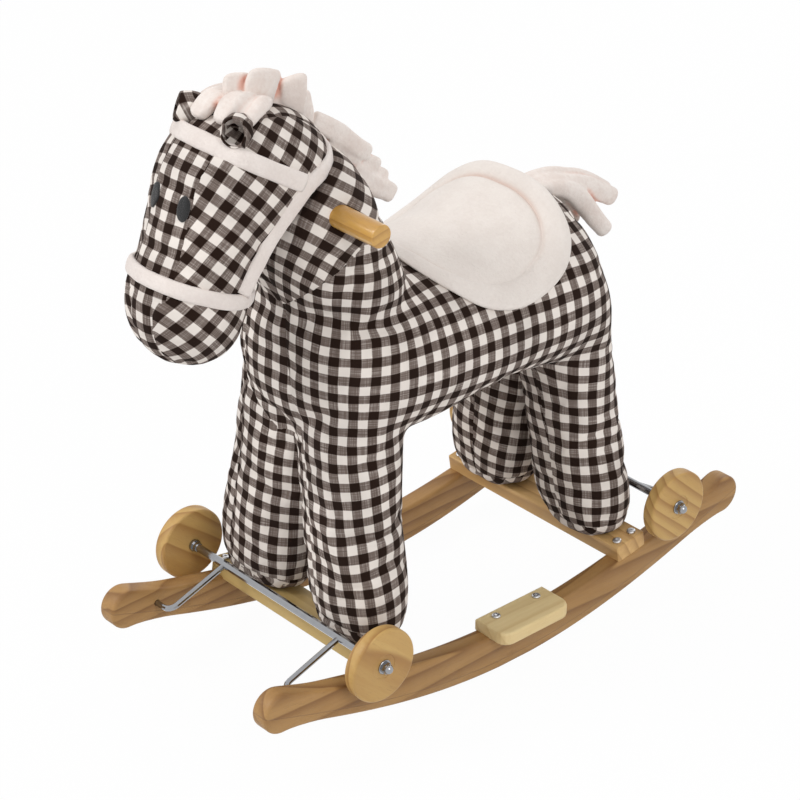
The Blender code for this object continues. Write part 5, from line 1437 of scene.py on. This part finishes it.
def foldedLock(bm, route, outwards, widths, thicknesses, cleft, roundness=0.7):
    places = smoothCurve(route, fold["steps"])
    rings = []
    count = len(places)
    for i, place in enumerate(places):
        along = (places[min(i + 1, count - 1)] - places[max(i - 1, 0)]).normalized()
        up = (Vector(outwards) - along * Vector(outwards).dot(along)).normalized()
        across = along.cross(up)
        width, thick = (valueAt(values, i / (count - 1) * (len(widths) - 1))
                        for values in (widths, thicknesses))
        ring = []
        for angle in circle(fold["sides"]):
            u, v = ovalPoint(angle, fold["squareness"])
            notch = 1.0 - cleft * math.exp(-(u / fold["cleftWidth"]) ** 2)
            lump = 1.0 + fold["lump"] * noise.noise(place * fold["lumpScale"] + Vector((u, v, 0)))
            ring.append(place + across * u * width * lump + up * v * thick * notch * lump)
        rings.append(ring)
    middle = sum(rings[-1], Vector()) / fold["sides"]
    direction = (places[-1] - places[-2]).normalized()
    rings += [[middle + (spot - middle) * share + direction * widths[-1] * roundness * rise
               for spot in rings[-1]]
              for share, rise in fold["tip"]]
    sweep(bm, rings)


def addPlush(name, bm, node):
    mesh = toMesh(voxelSkin(bm, fold["voxel"], fold["smoothing"], name), name)
    paintFoldShade(mesh, 0.008, 1.8)
    piece = addPiece(name, mesh, creamPlush)
    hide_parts(node)
    addSubdivision(piece)


tail = {
    "cleft": 0.4, "roundness": 0.45,
    # sideways place of root and tip, outward side, route (y, z), widths, thicknesses
    "locks": [
        (0.000, 0.002, 0.25,
         [(0.124, 0.433), (0.150, 0.4300), (0.177, 0.4215), (0.203, 0.4100), (0.2335, 0.3905)],
         [0.012, 0.0145, 0.0155, 0.0150, 0.0140], [0.007, 0.0095, 0.0110, 0.0115, 0.0110]),
        (0.007, 0.014, 0.25,
         [(0.124, 0.432), (0.152, 0.4265), (0.173, 0.4155), (0.188, 0.4000), (0.201, 0.3815),
          (0.2145, 0.3645)],
         [0.010, 0.0125, 0.0140, 0.0140, 0.0135, 0.0130], [0.007, 0.0095, 0.0105, 0.0110, 0.0105, 0.0100]),
        (-0.007, -0.015, -0.1,
         [(0.124, 0.430), (0.152, 0.4220), (0.172, 0.4090), (0.188, 0.3900), (0.200, 0.3680)],
         [0.010, 0.012, 0.013, 0.0125, 0.011], [0.007, 0.0095, 0.0105, 0.0100, 0.0090]),
    ],
}


def makeTail():
    bm = bmesh.new()
    for root, tip, outer, route, widths, thicknesses in tail["locks"]:
        count = len(route)
        places = [at(root + (tip - root) * i / (count - 1), y, z) for i, (y, z) in enumerate(route)]
        foldedLock(bm, places, (outer, 0.3, 1.0), widths, thicknesses, tail["cleft"], tail["roundness"])
    addPlush("foldedTail", bm, "tail")


tab = [0.0068, 0.0066, 0.0062, 0.0056]       # half thicknesses of a tab of the crest
mane = {                             # strip's route, half widths, half thicknesses, roundness of its end
    "foldedCrest": [
        ([(0.000, -0.224, 0.600), (0.000, -0.224, 0.612), (-0.003, -0.223, 0.625), (-0.005, -0.221, 0.634)],
         [0.011, 0.015, 0.0175, 0.0175], tab, 0.35),
        ([(0.001, -0.206, 0.597), (0.003, -0.207, 0.612), (0.006, -0.206, 0.627), (0.008, -0.203, 0.6370)],
         [0.012, 0.016, 0.0185, 0.0185], tab, 0.35),
        ([(0.000, -0.188, 0.590), (-0.002, -0.189, 0.607), (-0.004, -0.190, 0.620), (-0.005, -0.190, 0.6290)],
         [0.011, 0.013, 0.0145, 0.0145], tab, 0.3),
        ([(0.000, -0.168, 0.580), (0.003, -0.1685, 0.599), (0.005, -0.1690, 0.612), (0.006, -0.1690, 0.6225)],
         [0.011, 0.0140, 0.0150, 0.0150], tab, 0.3),
        ([(0.000, -0.154, 0.566), (0.000, -0.1540, 0.583), (-0.001, -0.1550, 0.594),
          (-0.001, -0.1560, 0.601)],
         [0.010, 0.0110, 0.0110, 0.0105], tab, 0.5)],
    "foldedMane": [
        ([(0.004, -0.146, 0.578), (0.004, -0.1222, 0.5610), (0.004, -0.1059, 0.5466),
          (0.004, -0.0930, 0.5350), (0.004, -0.0850, 0.5290)],
         [0.0085, 0.0095, 0.0100, 0.0095, 0.0085], [0.0050] * 5, 0.7),
        ([(0.001, -0.1244, 0.5549), (0.001, -0.1058, 0.5358), (0.001, -0.0893, 0.5221),
          (0.001, -0.0770, 0.5150), (0.001, -0.0710, 0.5115)],
         [0.0085, 0.0090, 0.0090, 0.0082, 0.0075], [0.0050] * 5, 0.7),
        ([(-0.002, -0.1112, 0.5368), (-0.002, -0.0948, 0.5182), (-0.002, -0.0781, 0.5062),
          (-0.002, -0.0660, 0.4990), (-0.002, -0.0600, 0.4950)],
         [0.0085, 0.0090, 0.0090, 0.0085, 0.0080], [0.0050] * 5, 0.7),
        ([(0.003, -0.0998, 0.5187), (0.003, -0.0855, 0.5025), (0.003, -0.0711, 0.4902),
          (0.003, -0.0600, 0.4830), (0.003, -0.0545, 0.4785)],
         [0.0085, 0.0095, 0.0100, 0.0100, 0.0095], [0.0055] * 5, 0.5),
        ([(-0.006, -0.130, 0.560), (-0.007, -0.112, 0.542), (-0.008, -0.096, 0.528), (-0.008, -0.086, 0.521)],
         [0.0085, 0.0095, 0.0095, 0.0085], [0.0048] * 4, 0.7),
        ([(-0.006, -0.108, 0.531), (-0.008, -0.090, 0.513), (-0.009, -0.074, 0.501), (-0.009, -0.066, 0.495)],
         [0.0085, 0.0095, 0.0095, 0.0085], [0.0048] * 4, 0.7)],
}


def makeMane():
    for name, node in (("foldedCrest", "mane_crest"), ("foldedMane", "mane_back")):
        bm = bmesh.new()
        for route, widths, thicknesses, roundness in mane[name]:
            foldedLock(bm, [at(*place) for place in route], sideways, widths, thicknesses, 0.12, roundness)
        addPlush(name, bm, node)


forelock = {
    "rise": 0.6, "cleft": 0.25,
    "widths": [0.009, 0.012, 0.012, 0.010], "thicknesses": [0.006, 0.008, 0.008, 0.007],
    "locks": [                       # route of (x, y, rise over the head)
        [(0.002, -0.210, 0.008), (0.005, -0.226, 0.016), (0.010, -0.241, 0.017), (0.014, -0.252, 0.012)],
        [(0.008, -0.206, 0.006), (0.016, -0.219, 0.012), (0.022, -0.231, 0.013), (0.024, -0.240, 0.010)],
        [(-0.004, -0.210, 0.007), (-0.010, -0.228, 0.014), (-0.012, -0.244, 0.015), (-0.012, -0.256, 0.010)],
        [(-0.008, -0.206, 0.006), (-0.018, -0.220, 0.012), (-0.024, -0.232, 0.012), (-0.027, -0.241, 0.009)],
    ],
}


def makeForelock():
    bm = bmesh.new()
    for route in forelock["locks"]:
        places = []
        for x, y, rise in route:
            place, normal = skinPoint([headTree], at(x, y, 0.5), Vector((0, 0, 1)))
            places.append(place + normal * rise * forelock["rise"])
        foldedLock(bm, places, (0, -0.2, 1), forelock["widths"], forelock["thicknesses"], forelock["cleft"])
    addPlush("foldedForelock", bm, "forelock")


makeTail()
makeMane()
makeForelock()
print("mane, forelock and tail")


# Ears: small bags gathered at the root, with an open mouth

ear = {
    "root": (0.020, -0.237, 0.600), "axis": (0.55, -0.75, 0.30), "length": 0.034, "wall": 0.0022,
    "radii": [0.0040, 0.0075, 0.0115, 0.0142, 0.0152, 0.0150, 0.0140, 0.0128],   # from the root to the mouth
    "deep": 0.35,                    # share of the length where the hollow ends
    "sides": 48, "steps": 20, "gathers": 9, "gatherDepth": 0.16, "lump": 0.08, "broad": 1.06, "narrow": 0.88,
}


def makeEar(side):
    name = f"cuppedEar_{side}"
    axis = Vector(ear["axis"]).normalized()
    front = (Vector((0, 0, -1)) + axis * axis.z).normalized()
    across = axis.cross(front)

    def earRing(t, wall):
        radius = max(valueAt(ear["radii"], min(t, 1.0) * (len(ear["radii"]) - 1)) - wall, 0.0012)
        centre = at(*ear["root"]) + axis * ear["length"] * t
        ring = []
        for angle in circle(ear["sides"]):
            gather = 1.0 + ear["gatherDepth"] * math.cos(angle * ear["gathers"]) * max(1 - t, 0.0) ** 1.5
            lump = 1.0 + ear["lump"] * noise.noise(Vector((math.cos(angle), math.sin(angle), t * 2)) * 1.6)
            outwards = front * math.cos(angle) * ear["broad"] + across * math.sin(angle) * ear["narrow"]
            ring.append(centre + outwards * radius * gather * lump)
        return ring

    steps = ear["steps"]
    rings = [earRing(i / steps, 0.0) for i in range(steps + 1)] + [earRing(1.02, ear["wall"] * 0.5)]
    rings += [earRing(1 - (1 - ear["deep"]) * i / steps, ear["wall"]) for i in range(steps + 1)]
    middle = sum(rings[-1], Vector()) / ear["sides"]
    rings += [[middle.lerp(spot, share) for spot in rings[-1]] for share in (0.6, 0.25)]
    bm = bmesh.new()
    sweep(bm, rings)
    mesh = toMesh(bm, name)
    piece = addPiece(name, mesh, checkedCotton)
    uv = mesh.uv_layers.new(name="cloth").uv
    for loop in mesh.loops:
        spot = mesh.vertices[loop.vertex_index].co
        uv[loop.index].vector = (spot.dot(across), spot.dot(axis) + spot.dot(front))
    if side == "right":
        mesh.transform(Matrix.Diagonal((-1, 1, 1, 1)))
        mesh.flip_normals()
    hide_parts(f"ear_{side}")
    addSubdivision(piece)


for side in sides:
    makeEar(side)
print("ears")
